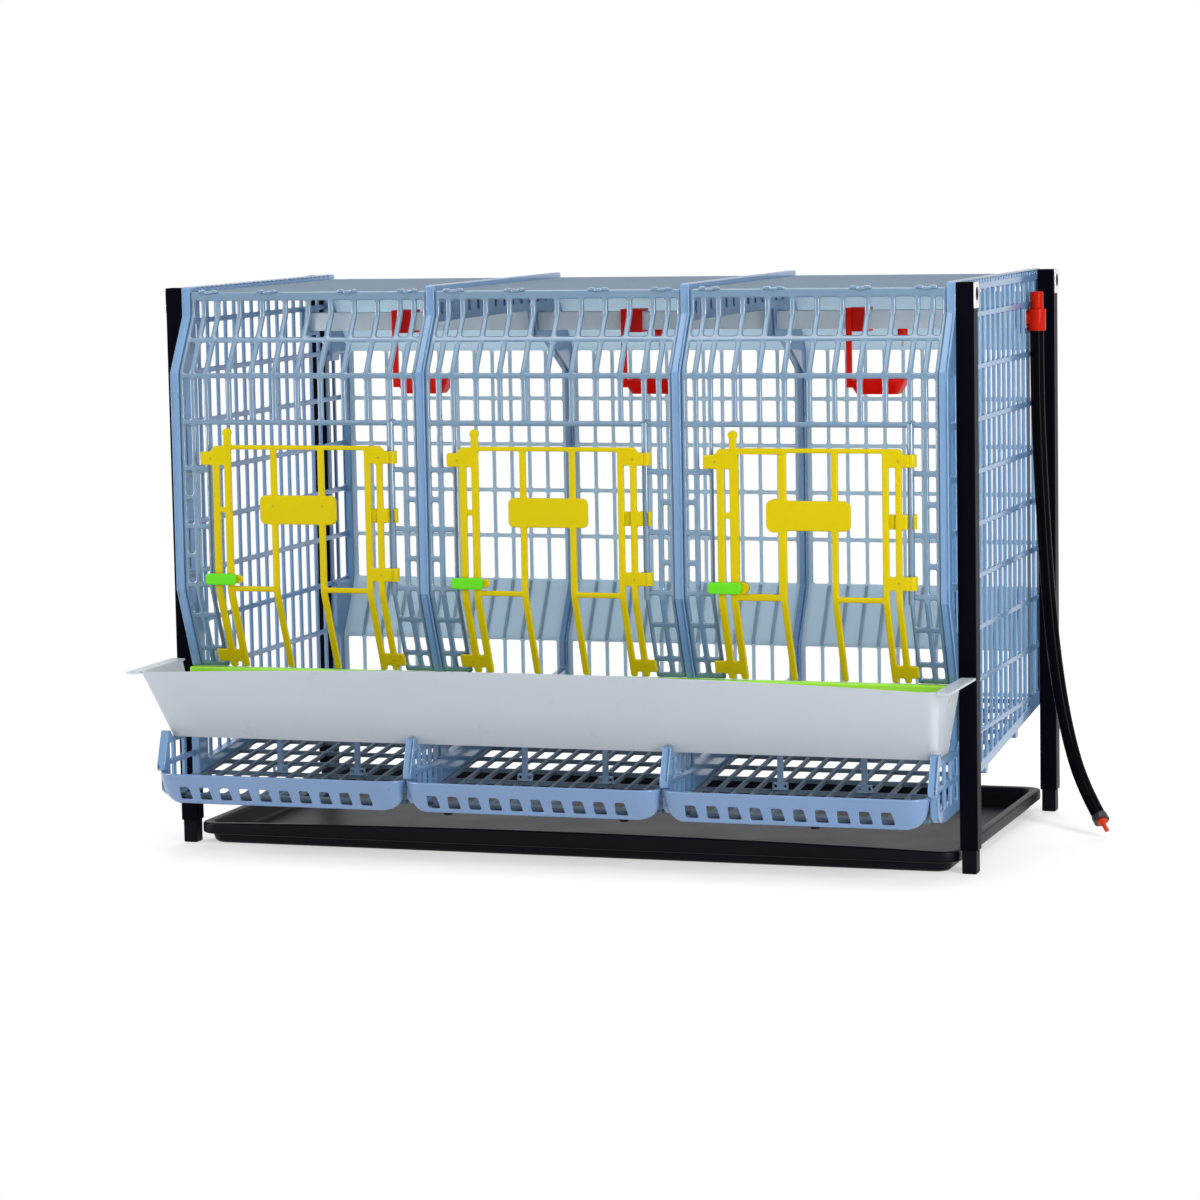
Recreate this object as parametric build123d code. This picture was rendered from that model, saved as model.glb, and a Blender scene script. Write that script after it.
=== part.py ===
from build123d import *
import math
import os

# Layer cage of three cells in a row, moulded plastic panels on four steel posts, in millimetres.
# X runs along the cage, Z up, and Y from front to back, counted here from the front faces of the front posts.

# Body
CELLS = 3
CELL_WIDTH = 290.0
DIVIDER = 10.0
BODY_TOP = 647.0
ROOF_TOP = 641.0
ROOF_THICKNESS = 4.0
UPPER_KNEE = 614.0
BULGE_TOP = 551.0
FRONT_BULGE = 38.0
FRONT_BULGE_FOOT = 302.0
PANEL_FOOT = 209.0
BACK_BULGE = 48.0
BACK_BULGE_FOOT = 260.0
BACK_WAIST = 8.0
BACK_WAIST_TOP = 192.0
EDGE = 12.0

# Posts
POST = 20.0
POST_WALL = 1.5
POST_SPAN = 440.0
POST_TOP = 646.0
FOOT_HEIGHT = 26.5
PLUG_CLEARANCE = 0.3
PLUG_ENTRY = 40.0
PLATE_HEIGHT = 28.0
PLATE_THICKNESS = 1.5
PLATE_HOLE_WIDTH = 10.5
PLATE_HOLE_HEIGHT = 14.0
PLATE_HOLE_RISE = 1.5

# Side panels
SIDE_COLUMNS = 16
SIDE_BAR = 4.0
SIDE_RIB = 6.0
SIDE_RIB_TOP = 607.0
SIDE_RIB_PITCH = 58.0
SIDE_RAIL = 13.0
KNEE_STRIP = 16.0
RAIL_SLOTS = 30
RAIL_SLOT_WIDTH = 6.0
RAIL_SLOT_HEIGHT = 4.5
RAIL_SLOT_DROP = 1.5
RAIL_SLOT_BACK = 2.0
RAIL_SLOT_RECESS = 0.5
PIPE_PAD = 34.0
WEB = 4.0
SKIRT_TABS = (136.0, 294.0)
SKIRT_TAB_LENGTH = 12.0
SKIRT_TAB_DEPTH = 7.0

# Partition frames
PORTAL_RAIL_FOOT = 605.0
PORTAL_STRIP = 13.0
PORTAL_SILL = 26.0
PORTAL_SLOTS = 14
PORTAL_SLOT_WIDTH = 9.0
PORTAL_SLOT_HEIGHT = 12.0
WEB_FRONT = 342.0
WEB_FOOT = 520.0
WEB_MARGIN = 8.0

# Front panels
NET_INSET = 2.0
NET_THICKNESS = 6.0
NET_BAR = 6.0
NET_EDGE = 5.0
NET_BAR_PITCH = 28.2
NET_PITCH_BARS = 3
DOORWAY_HALF = 112.0
COLUMN_BAR = 129.0
NET_TOP_BAR = 10.0
NET_RUNGS = (587.0, 547.5, 494.5)
COLUMN_RUNGS = (442.0, 375.0, 308.0, 271.0, 231.0)
SIDE_COLUMN_RUNGS = (408.5, 341.5)
HOOK_OFFSETS = (-122.5, -49.0, 49.0, 122.5)
HOOK_WIDTH = 23.0
HOOK_HEIGHT = 4.0
HINGE_ROD_RADIUS = 3.8
HINGE_ROD_CORE = 4.4

# Back panels
BACK_COLUMNS = 12
BACK_BAR = 3.6
BACK_RUNGS = (489.0, 431.5, 374.0, 316.5)
BACK_RUNG = 4.5
BACK_FOOT = 134.0
BACK_SLOT_FOOT = 620.0
BACK_SLOT_HEIGHT = 6.0
BACK_SLOT_WIDTH = 14.0

# Floor and egg lips
FLOOR_SLOPE = 6.0
SKIRT_FRONT = 84.5
FLOOR_THICKNESS = 5.0
FLOOR_DROP = 3.5
FLOOR_FRONT = -103.5
FLOOR_COLUMNS = 13
FLOOR_ROWS = 11
FLOOR_BAR = 4.5
TONGUE_HALF = 122.0
LIP_TOP = 100.0
LIP_FOOT = 66.0
LIP_NOSE = -119.0
LIP_REAR = -96.5
LIP_GAP = 1.0
LIP_LEFT_REACH = 3.0
LIP_RIGHT_GAP = 4.0
LIP_LEAN = 11.0
LIP_END_LEAN = 6.0
LIP_WALL = 3.0
LIP_CORNER = 14.0
LIP_WINDOWS = 10
LIP_WINDOW_PITCH = 24.4
LIP_WINDOW_SHIFT = -7.0
LIP_WINDOW_FOOT = 70.5
LIP_WINDOW_TOP = 85.0
LIP_WINDOW_TOP_WIDTH = 11.5
LIP_WINDOW_FOOT_WIDTH = 15.0
SEAT_GAP = 0.3
LIP_PLUG_PLACES = (-104.0, 102.0, 319.0)
LIP_PLUG_RADIUS = 5.0
LIP_PLUG_HEIGHT = 3.0
LEG_OFFSET = 48.0
LEG_WIDTH = 6.0
LEG_DEPTH = 6.0
LEG_FOOT_WIDTH = 17.0
LEG_FOOT_HEIGHT = 8.0
LEG_EYE = 4.0

# Feed trough and sill
TROUGH_FOOT = 138.0
TROUGH_TOP = 218.5
TROUGH_BOW = 10.0
TROUGH_REAR_TOP = 200.0
TROUGH_FOOT_HALF = 448.5
TROUGH_TOP_HALF = 462.5
TROUGH_FOOT_FRONT = -80.0
TROUGH_TOP_FRONT = -131.0
TROUGH_FOOT_REAR = -15.0
TROUGH_TOP_REAR = -9.4
TROUGH_WALL = 2.5
TROUGH_CORNER = 10.0
FLANGE_HALF = 476.5
FLANGE_TIP = -134.0
FLANGE_REAR = -10.0
FLANGE_THICKNESS = 2.4
SILL_FRONT = -9.0
SILL_REAR = 4.0
SILL_HEIGHT = 10.0
BRACKET_GAP = 0.2
TIP_HEIGHT = 8.0
TIP_THICKNESS = 6.0
TIP_GAP = 1.2
BRACKET_NOSE = -106.0
BRACKET_NOSE_HEIGHT = 109.0
BRACKET_OVER_LIP = 1.5
BRACKET_LOBE = ((-95.5, 78.0), (-84.0, 71.0), (-62.0, 68.5), (18.0, 72.5), (40.0, 88.7))
BRACKET_COLUMNS = 5
SIDE_BRACKET_COLUMNS = 3
BRACKET_BAR = 6.0

# Doors and latches
DOOR_GAP = 0.5
DOOR_THICKNESS = 6.0
DOOR_BAR = 7.0
DOOR_LEFT_BAR = 8.0
DOOR_CROSS = 6.0
DOOR_FOOT_GAP = 1.0
DOOR_TOP = 469.0
DOOR_TOP_BAR = 5.0
DOOR_OUTER = 100.0
DOOR_INNER = 85.5
DOOR_MIDDLE = 29.0
DOOR_CROSSBAR = 304.5
DOOR_LEFT_RUNG = 395.0
PLATE_HALF_WIDTH = 46.5
PLATE_LOW = 379.0
PLATE_HIGH = 412.0
PLATE_CORNER = 7.0
KNOB_HEIGHT = 483.0
KNOB_RADIUS = 5.2
LEFT_TAB_REACH = 118.5
LEFT_TABS = ((446.0, 461.5), (216.0, 231.0))
LEFT_SHOULDER = ((-107.0, 461.5), (-101.0, 468.0))
RIGHT_TAB_REACH = 113.0
RIGHT_TAB = (215.5, 230.0)
FRONT_KNUCKLES = ((449.0, 463.0), (315.5, 330.5))
REAR_KNUCKLE = (382.0, 398.0)
RIGHT_SHOULDER = ((106.5, 463.0), (101.0, 469.0))
STRAP_RECESS = 2.5
KNUCKLE_WALL = 2.7
KNUCKLE_CLEARANCE = 0.1
KNUCKLE_MOUTH = 5.2
LATCH_PIVOT_X = -82.0
LATCH_PIVOT_Z = 315.5
LATCH_REACH = 32.5
LATCH_HEEL = 5.5
LATCH_HEIGHT = 13.0
LATCH_CORNER = 4.5
LATCH_THICKNESS = 5.0
LATCH_GAP = 0.3
LATCH_BOSS_RADIUS = 5.0
LATCH_BOSS_REACH = 6.0
LATCH_PIN_RADIUS = 3.0
LATCH_PIN_LENGTH = 3.2
LATCH_CLEARANCE = 0.05

# Water line
PIPE = 22.0
PIPE_WALL = 2.0
PIPE_Y = 366.0
PIPE_Z = 591.0
PIPE_LEFT = -451.5
PIPE_CLEARANCE = 0.3
CAP_HEAD = 6.0
CAP_ENTRY = 12.0
CUP_STEM_OFFSETS = (-30.0, -35.0, -56.0)
CUP_STEM = 6.5
CUP_STEM_THICKNESS = 4.5
CUP_CLIP_WIDTH = 25.0
CUP_CLIP_WALL = 3.0
CUP_LENGTH = 70.0
CUP_FOOT_LENGTH = 52.0
CUP_WIDTH = 46.0
CUP_FOOT_WIDTH = 28.0
CUP_TOP = 520.0
CUP_FOOT = 503.0
CUP_WALL = 2.0
CUP_CORNER = 9.0
NIPPLE_OFFSET = 5.0
NIPPLE_RADIUS = 6.0
NIPPLE_HEIGHT = 11.0
NIPPLE_CHAMBER_RADIUS = 3.0
NIPPLE_CHAMBER_HEIGHT = 6.0
NIPPLE_FLOOR = 3.0
NIPPLE_PIN_RADIUS = 1.6
NIPPLE_PIN_LENGTH = 13.0
NIPPLE_HEAD_RADIUS = 2.6
NIPPLE_HEAD_HEIGHT = 1.5
NIPPLE_CLEARANCE = 0.05
ELBOW_RADIUS = 10.5
ELBOW_GAP = 0.3
ELBOW_FOOT = 577.0
ELBOW_TOP = 602.0
SPIGOT_CLEARANCE = 0.2
SPIGOT_ENTRY = 15.0
ELBOW_CAP_RADIUS = 7.5
ELBOW_CAP_HEIGHT = 20.0
HOSE_RADIUS = 8.2
COLLAR_RADIUS = 9.2
COLLAR_LENGTH = 8.0
HOSE_PLUG_RADIUS = 6.0
HOSE_PLUG_ENTRY = 6.0
HOSE_PLUG_FACE = 1.5
HOSE_PLUG_CLEARANCE = 0.1
NOZZLE_RADIUS = 2.6
NOZZLE_LENGTH = 13.0
# The hose hangs from the elbow, leans outwards and forwards and ends just above the ground.
HOSE_ROUTE = (
    (465.8, 366.0, 577.0),
    (465.8, 366.0, 510.0),
    (468.8, 362.8, 437.0),
    (474.2, 357.0, 352.0),
    (481.4, 349.3, 264.0),
    (492.6, 337.2, 180.0),
    (509.5, 318.9, 108.0),
    (531.3, 295.2, 54.5),
    (556.0, 268.6, 23.5),
)

# Manure tray
TRAY_HALF = 452.5
TRAY_FRONT = -6.0
TRAY_REAR = 453.0
TRAY_RIM_TOP = 24.5
TRAY_RIM_DROP = 12.0
TRAY_RIM = 11.5
TRAY_WALL = 2.5
TRAY_CORNER = 9.0
TRAY_BOW = 6.0

# Worked out from the sizes above
PITCH = CELL_WIDTH + DIVIDER
HALF_CELL = CELL_WIDTH / 2
HALF_BODY = (CELLS * PITCH + DIVIDER) / 2
CELL_CENTRES = [(i - (CELLS - 1) / 2) * PITCH for i in range(CELLS)]
DIVIDER_CENTRES = [(i - CELLS / 2) * PITCH for i in range(CELLS + 1)]
BACK_FACE = POST_SPAN + BACK_BULGE
WAIST_FACE = POST_SPAN + BACK_WAIST
NET_REAR = NET_INSET + NET_THICKNESS
DOOR_REAR = NET_INSET - DOOR_GAP
DOOR_FRONT = DOOR_REAR - DOOR_THICKNESS
DOOR_FACE = DOOR_FRONT - FRONT_BULGE
DOOR_FOOT = PANEL_FOOT + DOOR_FOOT_GAP
HINGE_Y = NET_INSET + NET_THICKNESS / 2 - FRONT_BULGE
TROUGH_LEAN = (TROUGH_FOOT_FRONT - TROUGH_TOP_FRONT) / (TROUGH_TOP - TROUGH_FOOT)
FRONT_PROFILE = (
    (0.0, BODY_TOP),
    (0.0, UPPER_KNEE),
    (-FRONT_BULGE, BULGE_TOP),
    (-FRONT_BULGE, FRONT_BULGE_FOOT),
    (0.0, PANEL_FOOT),
)
BACK_PROFILE = (
    (POST_SPAN, BODY_TOP),
    (POST_SPAN, UPPER_KNEE),
    (BACK_FACE, BULGE_TOP),
    (BACK_FACE, BACK_BULGE_FOOT),
    (WAIST_FACE, BACK_WAIST_TOP),
    (WAIST_FACE, BACK_FOOT),
)
AXES = {"X": (1, 0, 0), "Y": (0, 1, 0), "Z": (0, 0, 1)}
pieces = {}


def skirt(y):
    """Height of the body's sloping lower edge, which the floor follows."""
    return SKIRT_FRONT + y * math.tan(math.radians(FLOOR_SLOPE))


def along(profile, y):
    """Height of a slanted stretch, given by its two end points, at a depth y."""
    (y0, z0), (y1, z1) = profile
    return z0 + (z1 - z0) * (y - y0) / (y1 - y0)


def border(profile):
    """Upright size of a border EDGE wide along a slanted stretch."""
    (y0, z0), (y1, z1) = profile
    return EDGE * math.hypot(y1 - y0, z1 - z0) / abs(y1 - y0)


def spread(low, high, count, bar):
    """Equal gaps between bars over a span, as (start, end) pairs."""
    pitch = (high - low + bar) / count
    return [(low + i * pitch, low + (i + 1) * pitch - bar) for i in range(count)]


def box_outline(a0, a1, b0, b1):
    return [(a0, b0), (a1, b0), (a1, b1), (a0, b1)]


def prism(axis, outline, low, high, holes=()):
    """Solid between two levels along an axis, its outline and holes given in the two other coordinates."""
    place = {
        "X": lambda a, b: (low, a, b),
        "Y": lambda a, b: (a, low, b),
        "Z": lambda a, b: (a, b, low),
    }[axis]

    def ring(points):
        return Wire.make_polygon([Vector(*place(a, b)) for a, b in points], close=True)

    face = Face(ring(outline), [ring(hole) for hole in holes])
    return extrude(face, amount=high - low, dir=AXES[axis])


def block(x0, x1, y0, y1, z0, z1):
    return Pos((x0 + x1) / 2, (y0 + y1) / 2, (z0 + z1) / 2) * Box(x1 - x0, y1 - y0, z1 - z0)


def rod(x, y, z0, z1, radius):
    """Upright round bar."""
    return Pos(x, y, (z0 + z1) / 2) * Cylinder(radius, z1 - z0)


def bent_sheet(profile, near, far, x0, x1):
    """Sheet that follows a side profile, between two depths behind it."""
    front = [(y + near, z) for y, z in profile]
    rear = [(y + far, z) for y, z in reversed(profile)]
    return prism("X", front + rear, x0, x1)


def tapered_tray(foot, top, wall, corner):
    """Open tray with leaning walls. foot and top are (x0, x1, y0, y1, z)."""
    def section(level, inset, z):
        x0, x1, y0, y1 = level[0] + inset, level[1] - inset, level[2] + inset, level[3] - inset
        return Pos((x0 + x1) / 2, (y0 + y1) / 2, z) * RectangleRounded(x1 - x0, y1 - y0, corner - inset)

    outer = loft([section(foot, 0, foot[4]), section(top, 0, top[4])], ruled=True)
    inner = loft([section(foot, wall, foot[4] + wall), section(top, wall, top[4])], ruled=True)
    return outer - inner


def keep(name, *shapes):
    """Files the solids of one named piece, or of a group of like pieces."""
    pieces[name] = [solid for shape in shapes for solid in shape.solids()]


# Posts: square steel tube, open at the top where the foot plug of another tier's post goes in.
def post(x, y):
    inner = POST / 2 - POST_WALL
    tube = prism(
        "Z",
        box_outline(x - POST / 2, x + POST / 2, y - POST / 2, y + POST / 2),
        FOOT_HEIGHT,
        POST_TOP,
        [box_outline(x - inner, x + inner, y - inner, y + inner)],
    )
    return tube - plate_hole(x + math.copysign(POST / 2, x), y)


def plate_hole(x, y):
    """Oval hole through a post's outer wall and its joining plate."""
    oval = SlotOverall(PLATE_HOLE_HEIGHT, PLATE_HOLE_WIDTH, rotation=90)
    plane = Plane((x, y, POST_TOP - PLATE_HEIGHT / 2 + PLATE_HOLE_RISE), x_dir=(0, 1, 0), z_dir=(1, 0, 0))
    return extrude(plane * oval, amount=2 * POST_WALL, both=True)


def foot_plug(x, y):
    half = POST / 2 - POST_WALL - PLUG_CLEARANCE
    return block(x - half, x + half, y - half, y + half, 0, FOOT_HEIGHT + PLUG_ENTRY)


def joining_plate(x, y):
    face = x + math.copysign(POST / 2, x)
    far = face + math.copysign(PLATE_THICKNESS, x)
    sides = sorted((face, far))
    plate = block(*sides, y - POST / 2, y + POST / 2, POST_TOP - PLATE_HEIGHT, POST_TOP)
    return plate - plate_hole(face, y)


POST_X = HALF_BODY + POST / 2
POST_PLACES = {
    "front_left": (-POST_X, POST / 2),
    "front_right": (POST_X, POST / 2),
    "rear_left": (-POST_X, POST_SPAN - POST / 2),
    "rear_right": (POST_X, POST_SPAN - POST / 2),
}
for corner, place in POST_PLACES.items():
    keep("post_" + corner, post(*place))
keep("post_foot_plugs", *[foot_plug(*place) for place in POST_PLACES.values()])
keep("post_joining_plates", *[joining_plate(*place) for place in POST_PLACES.values()])


# Side panels and partition frames share one outline, with a bracket that carries the trough.
def bracket_outline():
    seat = TROUGH_FOOT - BRACKET_GAP
    tip = seat + TIP_HEIGHT
    tip_rear = TROUGH_FOOT_FRONT - TIP_GAP - TIP_HEIGHT * TROUGH_LEAN
    over_lip = LIP_TOP + BRACKET_OVER_LIP
    return [
        (SILL_REAR, PANEL_FOOT),
        (SILL_REAR, seat + EDGE),
        (SILL_FRONT, seat),
        (TROUGH_FOOT_FRONT - TIP_GAP, seat),
        (tip_rear, tip),
        (tip_rear - TIP_THICKNESS, tip),
        (BRACKET_NOSE, BRACKET_NOSE_HEIGHT),
        (BRACKET_NOSE, over_lip),
        (BRACKET_LOBE[0][0], over_lip),
        *BRACKET_LOBE,
    ]


def divider_outline():
    waist_foot = (WAIST_FACE, skirt(WAIST_FACE))
    return list(FRONT_PROFILE) + bracket_outline() + [waist_foot] + list(BACK_PROFILE[-2::-1])


def bracket_field():
    """Depths and heights between which the bracket is a thin web with windows."""
    y0 = BRACKET_LOBE[0][0] + BRACKET_BAR
    return y0, SILL_FRONT, BRACKET_LOBE[0][1] + BRACKET_BAR, TROUGH_FOOT - BRACKET_GAP - BRACKET_BAR


def bracket_windows(columns):
    left, right, foot, high = bracket_field()
    middle = (foot + high) / 2
    windows = []
    for y0, y1 in spread(left, right, columns, BRACKET_BAR):
        windows.append(box_outline(y0, y1, foot, middle - BRACKET_BAR / 2))
        windows.append(box_outline(y0, y1, middle + BRACKET_BAR / 2, high))
    return windows


def pocket(x, way, outline):
    """Hollow that leaves only a thin web at the face of a wall that looks along X, way being 1 or -1."""
    face = x + way * DIVIDER / 2
    ends = sorted((face - way * WEB, face - way * DIVIDER))
    return prism("X", outline, *ends)


def pipe_hole(x):
    half = PIPE / 2 + PIPE_CLEARANCE
    return block(x - DIVIDER, x + DIVIDER, PIPE_Y - half, PIPE_Y + half, PIPE_Z - half, PIPE_Z + half)


def side_windows():
    """Gaps of an end wall's grid, cut to the bulges in front of and behind the posts."""
    front_slope = FRONT_PROFILE[1:3]
    front_undercut = FRONT_PROFILE[3:5]
    back_slope = BACK_PROFILE[1:3]
    back_undercut = BACK_PROFILE[3:5]

    def high(y):
        if y < 0:
            return along(front_slope, y) - border(front_slope)
        if y > POST_SPAN:
            return along(back_slope, y) - border(back_slope)
        return BODY_TOP - SIDE_RAIL

    def low(y):
        if y < 0:
            return along(front_undercut, y) + border(front_undercut)
        if y > WAIST_FACE:
            return along(back_undercut, y) + border(back_undercut)
        return skirt(y) + EDGE

    columns = [(EDGE - FRONT_BULGE, -NET_INSET)]
    columns += spread(KNEE_STRIP, POST_SPAN - KNEE_STRIP, SIDE_COLUMNS, SIDE_BAR)
    columns += [(WAIST_FACE + NET_INSET, BACK_FACE - EDGE)]
    knee = (POST_SPAN - KNEE_STRIP + SIDE_BAR, WAIST_FACE - NET_INSET)
    ribs = [SIDE_RIB_TOP]
    while ribs[-1] - SIDE_RIB_PITCH > SKIRT_FRONT:
        ribs.append(ribs[-1] - SIDE_RIB_PITCH)
    rows = [(ribs[0] + SIDE_RIB / 2, BODY_TOP)]
    rows += [(under + SIDE_RIB / 2, over - SIDE_RIB / 2) for over, under in zip(ribs, ribs[1:])]
    rows += [(0.0, ribs[-1] - SIDE_RIB / 2)]
    windows = []
    for y0, y1 in columns:
        for z0, z1 in rows:
            feet = max(z0, low(y0)), max(z0, low(y1))
            heads = min(z1, high(y0)), min(z1, high(y1))
            if heads[0] - feet[0] > SIDE_BAR and heads[1] - feet[1] > SIDE_BAR:
                windows.append([(y0, feet[0]), (y1, feet[1]), (y1, heads[1]), (y0, heads[0])])
    for z0, z1 in rows:
        z0 = max(z0, BACK_BULGE_FOOT)
        z1 = min(z1, BULGE_TOP - EDGE)
        if z1 - z0 > SIDE_BAR:
            windows.append(box_outline(*knee, z0, z1))
    return windows


def rail_slots(count, width, foot, height, margin):
    slots = []
    for y0, y1 in spread(margin, POST_SPAN - margin, count, 0):
        middle = (y0 + y1) / 2
        slots.append(box_outline(middle - width / 2, middle + width / 2, foot, foot + height))
    return slots


def side_panel(x):
    slot_foot = BODY_TOP - RAIL_SLOT_DROP - RAIL_SLOT_HEIGHT
    holes = side_windows() + bracket_windows(SIDE_BRACKET_COLUMNS)
    holes += rail_slots(RAIL_SLOTS, RAIL_SLOT_WIDTH, slot_foot, RAIL_SLOT_HEIGHT, KNEE_STRIP)
    grid = prism("X", divider_outline(), x - DIVIDER / 2, x + DIVIDER / 2, holes)
    way = math.copysign(1, x)
    high = BODY_TOP - SIDE_RAIL
    field = [(y, skirt(y) + EDGE) for y in (KNEE_STRIP, POST_SPAN - KNEE_STRIP)]
    field += [(POST_SPAN - KNEE_STRIP, high), (KNEE_STRIP, high)]
    grid -= pocket(x, way, field)
    bulge = box_outline(POST_SPAN - KNEE_STRIP, BACK_FACE - EDGE, BACK_BULGE_FOOT, BULGE_TOP - EDGE)
    grid -= pocket(x, way, bulge)
    grid -= pocket(x, way, box_outline(*bracket_field()))
    inner = x - way * (DIVIDER / 2 - RAIL_SLOT_RECESS)
    back = sorted((inner, inner + way * RAIL_SLOT_BACK))
    back_levels = (slot_foot - RAIL_SLOT_DROP / 2, BODY_TOP - RAIL_SLOT_DROP / 2)
    grid += block(*back, KNEE_STRIP, POST_SPAN - KNEE_STRIP, *back_levels)
    for y in SKIRT_TABS:
        y0 = y - SKIRT_TAB_LENGTH / 2
        y1 = y + SKIRT_TAB_LENGTH / 2
        tab_levels = (skirt(y0) - SKIRT_TAB_DEPTH, skirt(y1) + EDGE / 2)
        grid += block(x - DIVIDER / 2, x + DIVIDER / 2, y0, y1, *tab_levels)
    half = PIPE_PAD / 2
    pad = block(x - DIVIDER / 2, x + DIVIDER / 2, PIPE_Y - half, PIPE_Y + half, PIPE_Z - half, PIPE_Z + half)
    return grid + pad - pipe_hole(x)


def partition_frame(x):
    """Open portal between two cells, with a web round the water pipe at its upper rear corner."""
    half = PIPE / 2 + WEB_MARGIN
    portal = [(y + PORTAL_STRIP, z) for y, z in FRONT_PROFILE[2:]]
    portal += [
        (SILL_REAR + PORTAL_STRIP, PANEL_FOOT - EDGE),
        (SILL_REAR + PORTAL_STRIP, skirt(SILL_REAR + PORTAL_STRIP) + PORTAL_SILL),
        (WAIST_FACE - PORTAL_STRIP, skirt(WAIST_FACE - PORTAL_STRIP) + PORTAL_SILL),
    ]
    portal += [(y - PORTAL_STRIP, z) for y, z in BACK_PROFILE[-2:2:-1]]
    portal += [
        (BACK_FACE - PORTAL_STRIP, WEB_FOOT),
        (PIPE_Y + half, PIPE_Z - half),
        (PIPE_Y - half, PIPE_Z - half),
        (WEB_FRONT, PORTAL_RAIL_FOOT),
        (PORTAL_STRIP, PORTAL_RAIL_FOOT),
    ]
    slot_foot = (PORTAL_RAIL_FOOT + ROOF_TOP - ROOF_THICKNESS - PORTAL_SLOT_HEIGHT) / 2
    slots = rail_slots(PORTAL_SLOTS, PORTAL_SLOT_WIDTH, slot_foot, PORTAL_SLOT_HEIGHT, PORTAL_STRIP)
    holes = [portal] + slots + bracket_windows(BRACKET_COLUMNS)
    wall = prism("X", divider_outline(), x - DIVIDER / 2, x + DIVIDER / 2, holes)
    return wall - pocket(x, 1, box_outline(*bracket_field())) - pipe_hole(x)


keep("side_panel_left", side_panel(DIVIDER_CENTRES[0]))
keep("side_panel_right", side_panel(DIVIDER_CENTRES[-1]))
for number, x in enumerate(DIVIDER_CENTRES[1:-1], 1):
    keep(f"partition_frame_{number}", partition_frame(x))


# Front panels: one bent net a cell, with a doorway that is open down to the sill.
def front_panel(centre):
    half_bar = NET_BAR / 2
    doorway = DOORWAY_HALF - HINGE_ROD_CORE / 2
    outline = [
        (-HALF_CELL, PANEL_FOOT),
        (-doorway, PANEL_FOOT),
        (-doorway, NET_RUNGS[-1] - half_bar),
        (doorway, NET_RUNGS[-1] - half_bar),
        (doorway, PANEL_FOOT),
        (HALF_CELL, PANEL_FOOT),
        (HALF_CELL, ROOF_TOP),
    ]
    for offset in reversed(HOOK_OFFSETS):
        outline += [
            (offset + HOOK_WIDTH / 2, ROOF_TOP),
            (offset + HOOK_WIDTH / 2, ROOF_TOP + HOOK_HEIGHT),
            (offset - HOOK_WIDTH / 2, ROOF_TOP + HOOK_HEIGHT),
            (offset - HOOK_WIDTH / 2, ROOF_TOP),
        ]
    outline.append((-HALF_CELL, ROOF_TOP))
    bars = [i * NET_BAR_PITCH for i in range(-NET_PITCH_BARS, NET_PITCH_BARS + 1)]
    bars = [-COLUMN_BAR, -DOORWAY_HALF] + bars + [DOORWAY_HALF, COLUMN_BAR]
    limits = [(-HALF_CELL + NET_EDGE, bars[0] - half_bar)]
    limits += [(left + half_bar, right - half_bar) for left, right in zip(bars, bars[1:])]
    limits += [(bars[-1] + half_bar, HALF_CELL - NET_EDGE)]
    rungs = [ROOF_TOP - NET_TOP_BAR + half_bar] + list(NET_RUNGS)
    holes = [
        box_outline(x0, x1, under + half_bar, over - half_bar)
        for x0, x1 in limits
        for over, under in zip(rungs, rungs[1:])
    ]
    inner_rungs = [NET_RUNGS[-1], *COLUMN_RUNGS, PANEL_FOOT + half_bar]
    outer_rungs = sorted(inner_rungs + list(SIDE_COLUMN_RUNGS), reverse=True)
    rod_side = DOORWAY_HALF + HINGE_ROD_CORE / 2
    for side in (-1, 1):
        inner = sorted((side * rod_side, side * (COLUMN_BAR - half_bar)))
        outer = sorted((side * (COLUMN_BAR + half_bar), side * (HALF_CELL - NET_EDGE)))
        for gap, levels in ((inner, inner_rungs), (outer, outer_rungs)):
            holes += [
                box_outline(gap[0], gap[1], under + half_bar, over - half_bar)
                for over, under in zip(levels, levels[1:])
            ]
    net = prism("Y", outline, -2 * FRONT_BULGE, 2 * FRONT_BULGE, holes)
    hook_profile = [(0.0, ROOF_TOP + HOOK_HEIGHT)] + list(FRONT_PROFILE[1:])
    sheet = bent_sheet(hook_profile, NET_INSET, NET_REAR, -HALF_CELL, HALF_CELL)
    hinge = rod(DOORWAY_HALF, HINGE_Y, FRONT_BULGE_FOOT, NET_RUNGS[-1], HINGE_ROD_RADIUS)
    return Pos(centre, 0, 0) * ((net & sheet) + hinge)


# Back panels: bent nets, solid along the upper slope and on the sloping plate above the floor.
def back_panel(centre):
    outline = box_outline(-HALF_CELL, HALF_CELL, BACK_FOOT, ROOF_TOP)
    columns = spread(-HALF_CELL + NET_EDGE, HALF_CELL - NET_EDGE, BACK_COLUMNS, BACK_BAR)
    rungs = [BULGE_TOP, *BACK_RUNGS, BACK_BULGE_FOOT]
    rows = [(under + BACK_RUNG / 2, over - BACK_RUNG / 2) for over, under in zip(rungs, rungs[1:])]
    rows.append((BACK_FOOT + BACK_RUNG, BACK_WAIST_TOP - BACK_RUNG / 2))
    holes = [box_outline(x0, x1, z0, z1) for x0, x1 in columns for z0, z1 in rows]
    for x0, x1 in columns:
        middle = (x0 + x1) / 2
        slot_half = BACK_SLOT_WIDTH / 2
        holes.append(
            box_outline(
                middle - slot_half, middle + slot_half, BACK_SLOT_FOOT, BACK_SLOT_FOOT + BACK_SLOT_HEIGHT
            )
        )
    net = prism("Y", outline, POST_SPAN - 2 * BACK_BULGE, BACK_FACE + BACK_BULGE, holes)
    sheet = bent_sheet(BACK_PROFILE, -NET_REAR, -NET_INSET, -HALF_CELL, HALF_CELL)
    return Pos(centre, 0, 0) * (net & sheet)


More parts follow.
